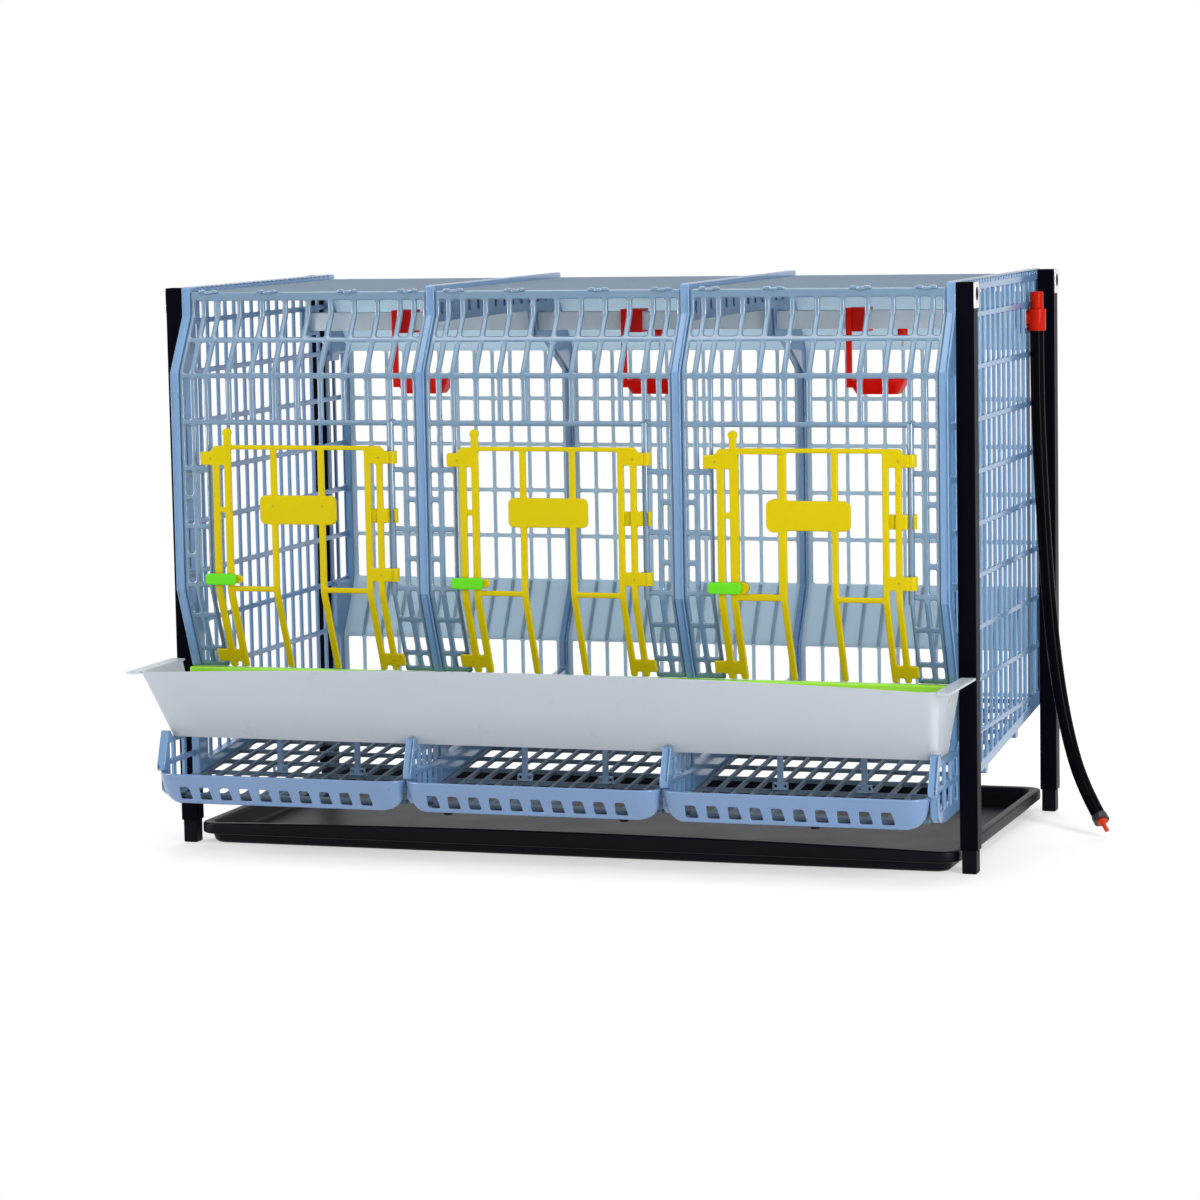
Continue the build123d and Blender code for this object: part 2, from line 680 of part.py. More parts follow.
def roof_panel(centre):
    return block(
        centre - HALF_CELL,
        centre + HALF_CELL,
        NET_REAR,
        POST_SPAN - NET_REAR,
        ROOF_TOP - ROOF_THICKNESS,
        ROOF_TOP,
    )


# Floor grids slope down to the egg lips. A narrower tongue reaches into the lip.
FLOOR_REAR = WAIST_FACE - NET_REAR
FLOOR_GAPS_X = spread(-HALF_CELL + FLOOR_BAR, HALF_CELL - FLOOR_BAR, FLOOR_COLUMNS, FLOOR_BAR)
TONGUE_REAR = LIP_REAR + LIP_GAP


def floor_foot(y):
    return skirt(y) - FLOOR_DROP


def floor_grid(centre):
    outline = [
        (-TONGUE_HALF, FLOOR_FRONT),
        (TONGUE_HALF, FLOOR_FRONT),
        (TONGUE_HALF, TONGUE_REAR),
        (HALF_CELL, TONGUE_REAR),
        (HALF_CELL, FLOOR_REAR),
        (-HALF_CELL, FLOOR_REAR),
        (-HALF_CELL, TONGUE_REAR),
        (-TONGUE_HALF, TONGUE_REAR),
    ]
    rows = spread(TONGUE_REAR + FLOOR_BAR, FLOOR_REAR - FLOOR_BAR, FLOOR_ROWS, FLOOR_BAR)
    holes = [box_outline(x0, x1, y0, y1) for x0, x1 in FLOOR_GAPS_X for y0, y1 in rows]
    grid = prism("Z", outline, 0, 2 * SKIRT_FRONT, holes)
    span = [(FLOOR_FRONT, floor_foot(FLOOR_FRONT)), (FLOOR_REAR, floor_foot(FLOOR_REAR))]
    slab = span + [(y, z + FLOOR_THICKNESS) for y, z in reversed(span)]
    return Pos(centre, 0, 0) * (grid & prism("X", slab, -HALF_CELL, HALF_CELL))


def egg_lip(centre):
    left = -PITCH / 2 - LIP_LEFT_REACH
    right = PITCH / 2 - LIP_RIGHT_GAP
    rear = LIP_REAR + 2 * LIP_CORNER
    foot = (left + LIP_END_LEAN, right - LIP_END_LEAN, LIP_NOSE + LIP_LEAN, rear, LIP_FOOT)
    top = (left, right, LIP_NOSE, rear, LIP_TOP)
    tray = tapered_tray(foot, top, LIP_WALL, LIP_CORNER)
    shelf_top = floor_foot(FLOOR_FRONT) - SEAT_GAP
    shelf = block(-TONGUE_HALF, TONGUE_HALF, FLOOR_FRONT, LIP_REAR, LIP_FOOT + LIP_WALL / 2, shelf_top)
    tray += shelf
    for i in range(LIP_WINDOWS):
        x = (i - (LIP_WINDOWS - 1) / 2) * LIP_WINDOW_PITCH - LIP_WINDOW_FOOT_WIDTH / 2 + LIP_WINDOW_SHIFT
        window = [
            (x, LIP_WINDOW_FOOT),
            (x + LIP_WINDOW_FOOT_WIDTH, LIP_WINDOW_FOOT),
            (x + LIP_WINDOW_TOP_WIDTH, LIP_WINDOW_TOP),
            (x, LIP_WINDOW_TOP),
        ]
        tray -= prism("Y", window, LIP_NOSE - LIP_WALL, FLOOR_FRONT)
    front = block(-PITCH, PITCH, LIP_NOSE - LIP_WALL, LIP_REAR, 0, BODY_TOP)
    return Pos(centre, 0, 0) * (tray & front)


def sill_leg(x):
    """Strap that holds the sill up from the floor, with a looped foot."""
    y0 = SILL_REAR - LEG_DEPTH
    foot = floor_foot(SILL_REAR) + FLOOR_THICKNESS + SEAT_GAP
    strap = block(x - LEG_WIDTH / 2, x + LEG_WIDTH / 2, y0, SILL_REAR, foot, PANEL_FOOT - SILL_HEIGHT)
    loop = block(x - LEG_FOOT_WIDTH / 2, x + LEG_FOOT_WIDTH / 2, y0, SILL_REAR, foot, foot + LEG_FOOT_HEIGHT)
    for side in (-1, 1):
        eye = x + side * (LEG_FOOT_WIDTH + LEG_WIDTH) / 4
        half = LEG_EYE / 2
        middle = foot + LEG_FOOT_HEIGHT / 2
        loop -= block(eye - half, eye + half, y0, SILL_REAR, middle - half, middle + half)
    return strap + loop


sill_legs = []
for number, centre in enumerate(CELL_CENTRES, 1):
    keep(f"front_panel_{number}", front_panel(centre))
    keep(f"back_panel_{number}", back_panel(centre))
    keep(f"roof_panel_{number}", roof_panel(centre))
    keep(f"floor_grid_{number}", floor_grid(centre))
    keep(f"egg_lip_{number}", egg_lip(centre))
    sill_legs += [sill_leg(centre - LEG_OFFSET), sill_leg(centre + LEG_OFFSET)]
keep("sill_legs", *sill_legs)
LIP_PLUG_Y = (FLOOR_FRONT + LIP_REAR) / 2
keep(
    "lip_plugs",
    *[rod(x, LIP_PLUG_Y, LIP_FOOT - LIP_PLUG_HEIGHT, LIP_FOOT, LIP_PLUG_RADIUS) for x in LIP_PLUG_PLACES],
)


# Feed trough: leaning walls, a low rear wall, a front lip that bows up and a flange at each end.
def feed_trough():
    reach = TROUGH_TOP + 2 * TROUGH_BOW
    grow = (reach - TROUGH_FOOT) / (TROUGH_TOP - TROUGH_FOOT)

    def at_reach(foot, top):
        return foot + (top - foot) * grow

    half = at_reach(TROUGH_FOOT_HALF, TROUGH_TOP_HALF)
    front = at_reach(TROUGH_FOOT_FRONT, TROUGH_TOP_FRONT)
    rear = at_reach(TROUGH_FOOT_REAR, TROUGH_TOP_REAR)
    foot = (-TROUGH_FOOT_HALF, TROUGH_FOOT_HALF, TROUGH_FOOT_FRONT, TROUGH_FOOT_REAR, TROUGH_FOOT)
    tray = tapered_tray(foot, (-half, half, front, rear, reach), TROUGH_WALL, TROUGH_CORNER)
    bow_half = TROUGH_FOOT_HALF - TROUGH_CORNER
    bow = ThreePointArc((bow_half, TROUGH_TOP), (0, TROUGH_TOP + TROUGH_BOW), (-bow_half, TROUGH_TOP))
    sides = Polyline((-bow_half, TROUGH_TOP), (-half, TROUGH_TOP), (-half, 0), (half, 0), (half, TROUGH_TOP))
    close = Line((half, TROUGH_TOP), (bow_half, TROUGH_TOP))
    lip_zone = make_face(Curve() + [sides, close, bow])
    middle = (TROUGH_FOOT_FRONT + TROUGH_FOOT_REAR) / 2
    rear_zone = TROUGH_FOOT_REAR - TROUGH_WALL
    zones = extrude(Plane.XZ.offset(-middle) * lip_zone, amount=middle - 2 * front)
    zones += block(-half, half, middle, rear_zone, 0, TROUGH_TOP)
    zones += block(-half, half, rear_zone, rear + TROUGH_WALL, 0, TROUGH_REAR_TOP)
    tray = tray & zones
    for side in (-1, 1):
        inner = side * (TROUGH_TOP_HALF - TROUGH_WALL)
        flange = [
            (inner, TROUGH_TOP_FRONT + TROUGH_CORNER),
            (side * TROUGH_TOP_HALF, TROUGH_TOP_FRONT),
            (side * FLANGE_HALF, FLANGE_TIP),
            (side * FLANGE_HALF, FLANGE_REAR),
            (inner, FLANGE_REAR),
        ]
        tray += prism("Z", flange, TROUGH_TOP - FLANGE_THICKNESS, TROUGH_TOP)
    return tray


keep("feed_trough", feed_trough())
keep("feed_sill", block(-HALF_BODY, HALF_BODY, SILL_FRONT, SILL_REAR, PANEL_FOOT - SILL_HEIGHT, PANEL_FOOT))


# Doors: flat moulded frames bent like the front panel, clipped on the round bar at the doorway's right.
def door(centre):
    half_bar = DOOR_BAR / 2

    def bar(x0, x1, z0, z1):
        return Pos((x0 + x1) / 2, (z0 + z1) / 2) * Rectangle(x1 - x0, z1 - z0)

    def corner(*points):
        return make_face(Polyline(*points, close=True))

    half_left = DOOR_LEFT_BAR / 2
    half_cross = DOOR_CROSS / 2
    frame = bar(-DOOR_INNER - half_left, -DOOR_INNER + half_left, DOOR_FOOT, KNOB_HEIGHT)
    frame += Pos(-DOOR_INNER, KNOB_HEIGHT) * Circle(KNOB_RADIUS)
    frame += bar(-DOOR_OUTER - half_left, -DOOR_OUTER + half_left, DOOR_FOOT, LEFT_TABS[0][1])
    for x in (-DOOR_MIDDLE, DOOR_MIDDLE, DOOR_INNER, DOOR_OUTER):
        frame += bar(x - half_bar, x + half_bar, DOOR_FOOT, RIGHT_SHOULDER[0][1])
        frame += bar(x - half_bar, min(x + half_bar, RIGHT_SHOULDER[1][0]), DOOR_FOOT, DOOR_TOP)
    frame += bar(-DOOR_INNER, RIGHT_SHOULDER[1][0], DOOR_TOP - DOOR_TOP_BAR, DOOR_TOP)
    for x0, x1 in ((-DOOR_INNER, -DOOR_MIDDLE), (DOOR_MIDDLE, DOOR_INNER)):
        frame += bar(x0, x1, DOOR_CROSSBAR - half_cross, DOOR_CROSSBAR + half_cross)
    frame += bar(-DOOR_OUTER, -DOOR_INNER, DOOR_LEFT_RUNG - half_cross, DOOR_LEFT_RUNG + half_cross)
    plate = RectangleRounded(2 * PLATE_HALF_WIDTH, PLATE_HIGH - PLATE_LOW, PLATE_CORNER)
    frame += Pos(0, (PLATE_LOW + PLATE_HIGH) / 2) * plate
    for low, high in LEFT_TABS:
        frame += bar(-LEFT_TAB_REACH, -DOOR_INNER, low, high)
    frame += corner(*LEFT_SHOULDER, (-DOOR_INNER, LEFT_SHOULDER[1][1]), (-DOOR_INNER, LEFT_SHOULDER[0][1]))
    for low, high in (RIGHT_TAB, *FRONT_KNUCKLES):
        reach = RIGHT_TAB_REACH if low == RIGHT_TAB[0] else DOORWAY_HALF
        frame += bar(DOOR_INNER, reach, low, high)
    frame += corner(*RIGHT_SHOULDER, (DOOR_INNER, RIGHT_SHOULDER[1][1]), (DOOR_INNER, RIGHT_SHOULDER[0][1]))
    frame += bar(DOOR_OUTER, DOORWAY_HALF, *REAR_KNUCKLE)
    boss_end = LATCH_PIVOT_X + LATCH_BOSS_REACH
    frame += Pos(boss_end, LATCH_PIVOT_Z) * Circle(LATCH_BOSS_RADIUS)
    frame += bar(-DOOR_INNER, boss_end, LATCH_PIVOT_Z - LATCH_BOSS_RADIUS, LATCH_PIVOT_Z + LATCH_BOSS_RADIUS)
    front = Plane.XZ.offset(2 * FRONT_BULGE)
    slab = extrude(front * frame, amount=-4 * FRONT_BULGE)
    leaf = slab & bent_sheet(FRONT_PROFILE, DOOR_FRONT, DOOR_REAR, -HALF_CELL, HALF_CELL)
    bore = HINGE_ROD_RADIUS + KNUCKLE_CLEARANCE
    for low, high in (*FRONT_KNUCKLES, REAR_KNUCKLE):
        leaf += rod(DOORWAY_HALF, HINGE_Y, low, high, bore + KNUCKLE_WALL)
        leaf += block(DOOR_OUTER, DOORWAY_HALF, DOOR_FACE, HINGE_Y, low, high)
    low, high = REAR_KNUCKLE
    leaf += block(DOOR_INNER, DOOR_OUTER, DOOR_FACE + STRAP_RECESS, DOOR_FACE + DOOR_THICKNESS, low, high)
    leaf -= rod(DOORWAY_HALF, HINGE_Y, DOOR_FOOT, DOOR_TOP, bore)
    mouth = KNUCKLE_MOUTH / 2
    depth = bore + 2 * KNUCKLE_WALL
    for low, high in FRONT_KNUCKLES:
        leaf -= block(DOORWAY_HALF - mouth, DOORWAY_HALF + mouth, HINGE_Y, HINGE_Y + depth, low, high)
    leaf -= block(DOORWAY_HALF - mouth, DOORWAY_HALF + mouth, DOOR_FACE - DOOR_GAP, HINGE_Y, *REAR_KNUCKLE)
    return Pos(centre, 0, 0) * leaf


def across(x, z, radius, y0, y1):
    """Round bar that runs from front to back."""
    return Pos(x, (y0 + y1) / 2, z) * Rot(90, 0, 0) * Cylinder(radius, y1 - y0)


def latch(centre):
    """Lever with a closed front, turning on a short pin that enters it from behind."""
    length = LATCH_REACH + LATCH_HEEL
    outline = Pos((LATCH_HEEL - LATCH_REACH) / 2, 0) * RectangleRounded(length, LATCH_HEIGHT, LATCH_CORNER)
    rear = DOOR_FACE - LATCH_GAP
    lever = extrude(Plane.XZ.offset(-rear) * outline, amount=LATCH_THICKNESS)
    lever = Pos(centre + LATCH_PIVOT_X, 0, LATCH_PIVOT_Z) * lever
    bore = LATCH_PIN_RADIUS + LATCH_CLEARANCE
    return lever - across(centre + LATCH_PIVOT_X, LATCH_PIVOT_Z, bore, rear - LATCH_PIN_LENGTH, rear)


def latch_pin(centre):
    front = DOOR_FACE - LATCH_PIN_LENGTH
    return across(centre + LATCH_PIVOT_X, LATCH_PIVOT_Z, LATCH_PIN_RADIUS, front, DOOR_FACE)


for number, centre in enumerate(CELL_CENTRES, 1):
    keep(f"door_{number}", door(centre))
    keep(f"latch_{number}", latch(centre))
    keep(f"latch_pin_{number}", latch_pin(centre))


# Water line: square pipe through both end walls, closed at the left and fed by the elbow at the right.
def square_bar(half, x0, x1):
    return block(x0, x1, PIPE_Y - half, PIPE_Y + half, PIPE_Z - half, PIPE_Z + half)


PIPE_BORE = PIPE / 2 - PIPE_WALL
keep("water_pipe", square_bar(PIPE / 2, PIPE_LEFT, HALF_BODY) - square_bar(PIPE_BORE, PIPE_LEFT, HALF_BODY))
cap_plug = square_bar(PIPE_BORE - PIPE_CLEARANCE, PIPE_LEFT, PIPE_LEFT + CAP_ENTRY)
keep("pipe_end_cap", square_bar(PIPE / 2, PIPE_LEFT - CAP_HEAD, PIPE_LEFT) + cap_plug)


def drinker_cup(stem_x):
    """Drip cup on a flat stem, with a clip that grips the square pipe from the front."""
    half = PIPE / 2
    outer = half + CUP_CLIP_WALL
    x0 = stem_x - CUP_STEM / 2
    clip = square_bar(outer, x0, x0 + CUP_CLIP_WIDTH) - square_bar(half, x0, x0 + CUP_CLIP_WIDTH)
    rear = block(x0, x0 + CUP_CLIP_WIDTH, PIPE_Y + half, PIPE_Y + 2 * outer, PIPE_Z - half, PIPE_Z + half)
    clip -= rear
    lean = (CUP_LENGTH - CUP_FOOT_LENGTH) / 2
    y0 = PIPE_Y - CUP_WIDTH / 2
    y1 = PIPE_Y + CUP_WIDTH / 2
    side = (CUP_WIDTH - CUP_FOOT_WIDTH) / 2
    foot = (x0 + lean, x0 + CUP_LENGTH - lean, y0 + side, y1 - side, CUP_FOOT)
    bowl = tapered_tray(foot, (x0, x0 + CUP_LENGTH, y0, y1, CUP_TOP), CUP_WALL, CUP_CORNER)
    stem_front = PIPE_Y - outer - CUP_STEM_THICKNESS
    stem = block(x0, x0 + CUP_STEM, stem_front, PIPE_Y - outer, CUP_TOP - CUP_CORNER, PIPE_Z + outer)
    return clip + bowl + stem


def nipple(x):
    top = PIPE_Z - PIPE / 2
    foot = top - NIPPLE_HEIGHT
    body = rod(x, PIPE_Y, foot, top, NIPPLE_RADIUS)
    chamber = foot + NIPPLE_FLOOR
    body -= rod(x, PIPE_Y, chamber, chamber + NIPPLE_CHAMBER_HEIGHT, NIPPLE_CHAMBER_RADIUS)
    return body - rod(x, PIPE_Y, foot, chamber, NIPPLE_PIN_RADIUS + NIPPLE_CLEARANCE)


def nipple_pin(x):
    seat = PIPE_Z - PIPE / 2 - NIPPLE_HEIGHT + NIPPLE_FLOOR + NIPPLE_CLEARANCE
    pin = rod(x, PIPE_Y, seat - NIPPLE_PIN_LENGTH, seat, NIPPLE_PIN_RADIUS)
    return pin + rod(x, PIPE_Y, seat, seat + NIPPLE_HEAD_HEIGHT, NIPPLE_HEAD_RADIUS)


for number, (centre, offset) in enumerate(zip(CELL_CENTRES, CUP_STEM_OFFSETS), 1):
    keep(f"drinker_cup_{number}", drinker_cup(centre + offset))
    keep(f"nipple_pin_{number}", nipple_pin(centre + NIPPLE_OFFSET))
keep("nipple_bodies", *[nipple(centre + NIPPLE_OFFSET) for centre in CELL_CENTRES])

ELBOW_X = HALF_BODY + ELBOW_GAP + ELBOW_RADIUS
spigot_radius = PIPE_BORE - SPIGOT_CLEARANCE
spigot_start = HALF_BODY - SPIGOT_ENTRY
spigot = Pos((spigot_start + ELBOW_X) / 2, PIPE_Y, PIPE_Z) * Rot(0, 90, 0)
spigot = spigot * Cylinder(spigot_radius, ELBOW_X - spigot_start)
keep("inlet_elbow", rod(ELBOW_X, PIPE_Y, ELBOW_FOOT, ELBOW_TOP, ELBOW_RADIUS) + spigot)
keep("elbow_cap", rod(ELBOW_X, PIPE_Y, ELBOW_TOP, ELBOW_TOP + ELBOW_CAP_HEIGHT, ELBOW_CAP_RADIUS))


# Hose: straight runs joined by the largest tangent arcs that fit between them.
def hose_radii(route):
    radii = []
    for before, here, after in zip(route, route[1:], route[2:]):
        a = Vector(*here) - Vector(*before)
        b = Vector(*after) - Vector(*here)
        turn = math.radians(a.get_angle(b))
        radii.append(0.45 * min(a.length, b.length) / math.tan(turn / 2))
    return radii


radii = hose_radii(HOSE_ROUTE)
path = FilletPolyline(*HOSE_ROUTE, radius=radii)
hose_start = Plane(path @ 0, z_dir=path % 0)
hose = sweep(hose_start * Circle(HOSE_RADIUS), path=path)
print("hose radii", [round(r) for r in radii], "length", round(path.length, 1))
hose_section = math.pi * HOSE_RADIUS**2
print("hose volume", round(hose.volume), "section times length", round(hose_section * path.length))
keep("inlet_hose", hose)
hose_end = Vector(path @ 1)
hose_way = Vector(path % 1)


def on_hose_end(start, length, radius):
    """Round piece in line with the hose, from a distance past its end."""
    return Plane(hose_end + hose_way * (start + length / 2), z_dir=hose_way) * Cylinder(radius, length)


plug_start = COLLAR_LENGTH - HOSE_PLUG_ENTRY
plug_end = COLLAR_LENGTH + HOSE_PLUG_FACE
socket = on_hose_end(plug_start, HOSE_PLUG_ENTRY, HOSE_PLUG_RADIUS + HOSE_PLUG_CLEARANCE)
keep("hose_collar", on_hose_end(0, COLLAR_LENGTH, COLLAR_RADIUS) - socket)
plug = on_hose_end(plug_start, plug_end - plug_start, HOSE_PLUG_RADIUS)
keep("hose_plug", plug + on_hose_end(plug_end, NOZZLE_LENGTH, NOZZLE_RADIUS))


# Manure tray: shallow, with a turned-down rim whose front bows up a little.
def tray_ring(inset, width, z0, z1):
    def sheet(by):
        size = (2 * (TRAY_HALF - by), TRAY_REAR - TRAY_FRONT - 2 * by)
        return RectangleRounded(*size, TRAY_CORNER)

    ring = sheet(inset) if width is None else sheet(inset) - sheet(inset + width)
    return extrude(Pos(0, (TRAY_FRONT + TRAY_REAR) / 2, z0) * ring, amount=z1 - z0)


def manure_tray():
    tray = tray_ring(TRAY_RIM, None, 0, TRAY_WALL)
    tray += tray_ring(TRAY_RIM, TRAY_WALL, 0, TRAY_RIM_TOP)
    tray += tray_ring(0, TRAY_RIM + TRAY_WALL, TRAY_RIM_TOP - TRAY_WALL, TRAY_RIM_TOP)
    tray += tray_ring(0, TRAY_WALL, TRAY_RIM_TOP - TRAY_RIM_DROP, TRAY_RIM_TOP)
    half = TRAY_HALF - TRAY_RIM
    foot = TRAY_RIM_TOP - TRAY_WALL
    bow = ThreePointArc((half, TRAY_RIM_TOP), (0, TRAY_RIM_TOP + TRAY_BOW), (-half, TRAY_RIM_TOP))
    base = Polyline((-half, TRAY_RIM_TOP), (-half, foot), (half, foot), (half, TRAY_RIM_TOP))
    crest = make_face(Curve() + [base, bow])
    tray += extrude(Plane.XZ.offset(-TRAY_FRONT - TRAY_WALL) * crest, amount=TRAY_WALL)
    return tray


keep("manure_tray", manure_tray())

# The origin stands on the ground under the middle of the cage, its hose and the hose's end pieces left out.
CORD = {"inlet_hose", "hose_collar", "hose_plug"}
body = Compound([solid for name, solids in pieces.items() if name not in CORD for solid in solids])
box = body.bounding_box()
centre_y = (box.min.Y + box.max.Y) / 2
print("size", box.size, "low", box.min, "middle depth", round(centre_y, 3))
os.makedirs("parts", exist_ok=True)
for name, solids in pieces.items():
    placed = [solid.moved(Location((0, -centre_y, 0))) for solid in solids]
    export_step(placed[0] if len(placed) == 1 else Compound(placed), f"parts/{name}.step")
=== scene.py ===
import bisect
import math

import bmesh
import bpy
from mathutils import Matrix, Vector


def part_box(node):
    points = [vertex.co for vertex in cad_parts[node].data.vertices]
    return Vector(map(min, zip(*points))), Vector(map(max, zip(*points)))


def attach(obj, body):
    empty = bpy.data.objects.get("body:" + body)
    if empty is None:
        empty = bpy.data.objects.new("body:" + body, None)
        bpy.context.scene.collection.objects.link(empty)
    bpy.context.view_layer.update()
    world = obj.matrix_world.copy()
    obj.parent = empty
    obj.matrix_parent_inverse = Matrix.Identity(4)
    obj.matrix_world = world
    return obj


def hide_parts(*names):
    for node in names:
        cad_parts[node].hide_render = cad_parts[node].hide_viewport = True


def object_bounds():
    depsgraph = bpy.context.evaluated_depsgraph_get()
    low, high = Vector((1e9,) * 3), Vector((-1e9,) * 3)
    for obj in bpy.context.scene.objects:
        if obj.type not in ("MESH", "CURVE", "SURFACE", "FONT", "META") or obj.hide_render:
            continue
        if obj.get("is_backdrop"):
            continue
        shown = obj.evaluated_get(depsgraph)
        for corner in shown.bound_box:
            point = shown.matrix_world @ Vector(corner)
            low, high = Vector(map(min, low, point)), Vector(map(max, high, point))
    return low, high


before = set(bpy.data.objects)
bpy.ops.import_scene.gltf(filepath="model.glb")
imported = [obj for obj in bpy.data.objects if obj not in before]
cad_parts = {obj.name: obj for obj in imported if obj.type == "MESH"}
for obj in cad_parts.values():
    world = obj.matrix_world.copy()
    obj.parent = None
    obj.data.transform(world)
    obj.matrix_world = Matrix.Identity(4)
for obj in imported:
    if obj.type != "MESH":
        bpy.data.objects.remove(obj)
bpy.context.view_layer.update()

# The picture: a long lens on a stand in front of the cage's right half, a little above its middle.
# It is turned left towards the cage, tipped slightly down, and leans a touch to one side.
CAMERA_PLACE = Vector((1.4200, -4.2820, 0.7870))
CAMERA_TURN = 0.322986
CAMERA_DIP = 0.113204
CAMERA_LEAN = -0.018509
CAMERA_LENS = 116.88
level_way = Vector((-math.sin(CAMERA_TURN), math.cos(CAMERA_TURN), 0))
level_right = Vector((math.cos(CAMERA_TURN), math.sin(CAMERA_TURN), 0))
upright = Vector((0, 0, 1))
view_way = math.cos(CAMERA_DIP) * level_way - math.sin(CAMERA_DIP) * upright
view_up = math.sin(CAMERA_DIP) * level_way + math.cos(CAMERA_DIP) * upright
camera_right = math.cos(CAMERA_LEAN) * level_right + math.sin(CAMERA_LEAN) * view_up
camera_up = math.cos(CAMERA_LEAN) * view_up - math.sin(CAMERA_LEAN) * level_right
camera_data = bpy.data.cameras.new("Camera")
camera_data.lens = CAMERA_LENS
camera_data.sensor_width = 36.0
camera_data.clip_end = 50.0
camera = bpy.data.objects.new("Camera", camera_data)
camera.matrix_world = Matrix.Translation(CAMERA_PLACE) @ Matrix(
    (camera_right, camera_up, -view_way)
).transposed().to_4x4()
bpy.context.scene.collection.objects.link(camera)
bpy.context.scene.camera = camera
bpy.context.scene.view_settings.view_transform = "Standard"


# The inlet hose: soft black rubber tube pushed on the elbow's foot, hanging free beside the rear post.
# It curves outwards near the ground and ends in a swaged collar with an orange plug and a thin nozzle.
def srgb(red, green, blue):
    """Colour as it is read off a screen, 0 to 255, turned into light."""
    def light(level):
        level = level / 255
        return level / 12.92 if level <= 0.04045 else ((level + 0.055) / 1.055) ** 2.4

    return (light(red), light(green), light(blue), 1.0)


FLOW_SCALE = 14.0
SHINE_SPREAD = 0.07
GRAIN_STRENGTH = 0.4
COLOUR_ONE = 6
COLOUR_TWO = 7
MIXED_COLOUR = 2


def moulded_finish(
    name, colour, drift=0.08, shine=0.35, grain=0.0008, depth=0.00003, through=0.0, **sockets
):
    """Moulded or sprayed surface: its colour drifts a little, and a fine grain breaks up its shine.

    through is the share of light that a thin plastic wall lets pass.
    """
    material = bpy.data.materials.new(name)
    material.use_nodes = True
    nodes = material.node_tree.nodes
    links = material.node_tree.links
    shader = nodes["Principled BSDF"]
    place = nodes.new("ShaderNodeTexCoord")

    def noise(scale, detail):
        node = nodes.new("ShaderNodeTexNoise")
        node.inputs["Scale"].default_value = scale
        node.inputs["Detail"].default_value = detail
        links.new(place.outputs["Object"], node.inputs["Vector"])
        return node

    flow = noise(FLOW_SCALE, 4.0)
    tint = nodes.new("ShaderNodeMix")
    tint.data_type = "RGBA"
    darker = [channel * (1 - drift) for channel in colour[:3]]
    lighter = [min(1.0, channel * (1 + drift)) for channel in colour[:3]]
    tint.inputs[COLOUR_ONE].default_value = (*darker, 1.0)
    tint.inputs[COLOUR_TWO].default_value = (*lighter, 1.0)
    links.new(flow.outputs[0], tint.inputs[0])
    links.new(tint.outputs[MIXED_COLOUR], shader.inputs["Base Color"])
    pores = noise(1 / grain, 2.0)
    sheen = nodes.new("ShaderNodeMapRange")
    sheen.inputs["To Min"].default_value = shine - SHINE_SPREAD
    sheen.inputs["To Max"].default_value = shine + SHINE_SPREAD
    links.new(flow.outputs[0], sheen.inputs["Value"])
    links.new(sheen.outputs[0], shader.inputs["Roughness"])
    relief = nodes.new("ShaderNodeBump")
    relief.inputs["Strength"].default_value = GRAIN_STRENGTH
    relief.inputs["Distance"].default_value = depth
    links.new(pores.outputs[0], relief.inputs["Height"])
    links.new(relief.outputs[0], shader.inputs["Normal"])
    for socket, value in sockets.items():
        shader.inputs[socket.replace("_", " ")].default_value = value
    if through:
        milky = nodes.new("ShaderNodeBsdfTranslucent")
        milky.inputs["Color"].default_value = [math.sqrt(channel) for channel in colour]
        both = nodes.new("ShaderNodeMixShader")
        both.inputs[0].default_value = through
        links.new(shader.outputs[0], both.inputs[1])
        links.new(milky.outputs[0], both.inputs[2])
        links.new(both.outputs[0], nodes["Material Output"].inputs["Surface"])
    return material


JOIN_DISTANCE = 0.00001
SHARP_EDGE = math.radians(40)


def dress(node, material, edge=0.0008):
    """A solid that keeps its shape gets a finish and softly rounded edges."""
    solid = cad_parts[node]
    solid.data.materials.clear()
    solid.data.materials.append(material)
    weld = solid.modifiers.new("Join corners", "WELD")
    weld.merge_threshold = JOIN_DISTANCE
    rounding = solid.modifiers.new("Round edges", "BEVEL")
    rounding.width = edge
    rounding.segments = 2
    rounding.limit_method = "ANGLE"
    rounding.angle_limit = SHARP_EDGE
    rounding.harden_normals = True
    return solid


HOSE_RADIUS = 0.0082
HOSE_ROUTE = [
    (0.4658, 0.190668, 0.5770),
    (0.4658, 0.190668, 0.5100),
    (0.4688, 0.187468, 0.4370),
    (0.4742, 0.181668, 0.3520),
    (0.4814, 0.173968, 0.2640),
    (0.4926, 0.161868, 0.1800),
    (0.5095, 0.143568, 0.1080),
    (0.5313, 0.119868, 0.0545),
    (0.5560, 0.093268, 0.0235),
]
hose_rubber = moulded_finish(
    "Hose_rubber",
    srgb(5, 5, 9),
    drift=0.15,
    shine=0.16,
    grain=0.0012,
    depth=0.00003,
    Specular_IOR_Level=0.02,
)
hose_curve = bpy.data.curves.new("Inlet_hose", "CURVE")
hose_curve.dimensions = "3D"
hose_line = hose_curve.splines.new("NURBS")
hose_line.points.add(len(HOSE_ROUTE) - 1)
for knot, place in zip(hose_line.points, HOSE_ROUTE):
    knot.co = (*place, 1.0)
hose_line.order_u = 3
hose_line.use_endpoint_u = True
hose_line.resolution_u = 12
hose_curve.bevel_depth = HOSE_RADIUS
hose_curve.bevel_resolution = 8
hose_curve.use_fill_caps = True
hose_curve.materials.append(hose_rubber)
hose = bpy.data.objects.new("Inlet_hose", hose_curve)
bpy.context.scene.collection.objects.link(hose)
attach(hose, "cage")
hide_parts("inlet_hose")
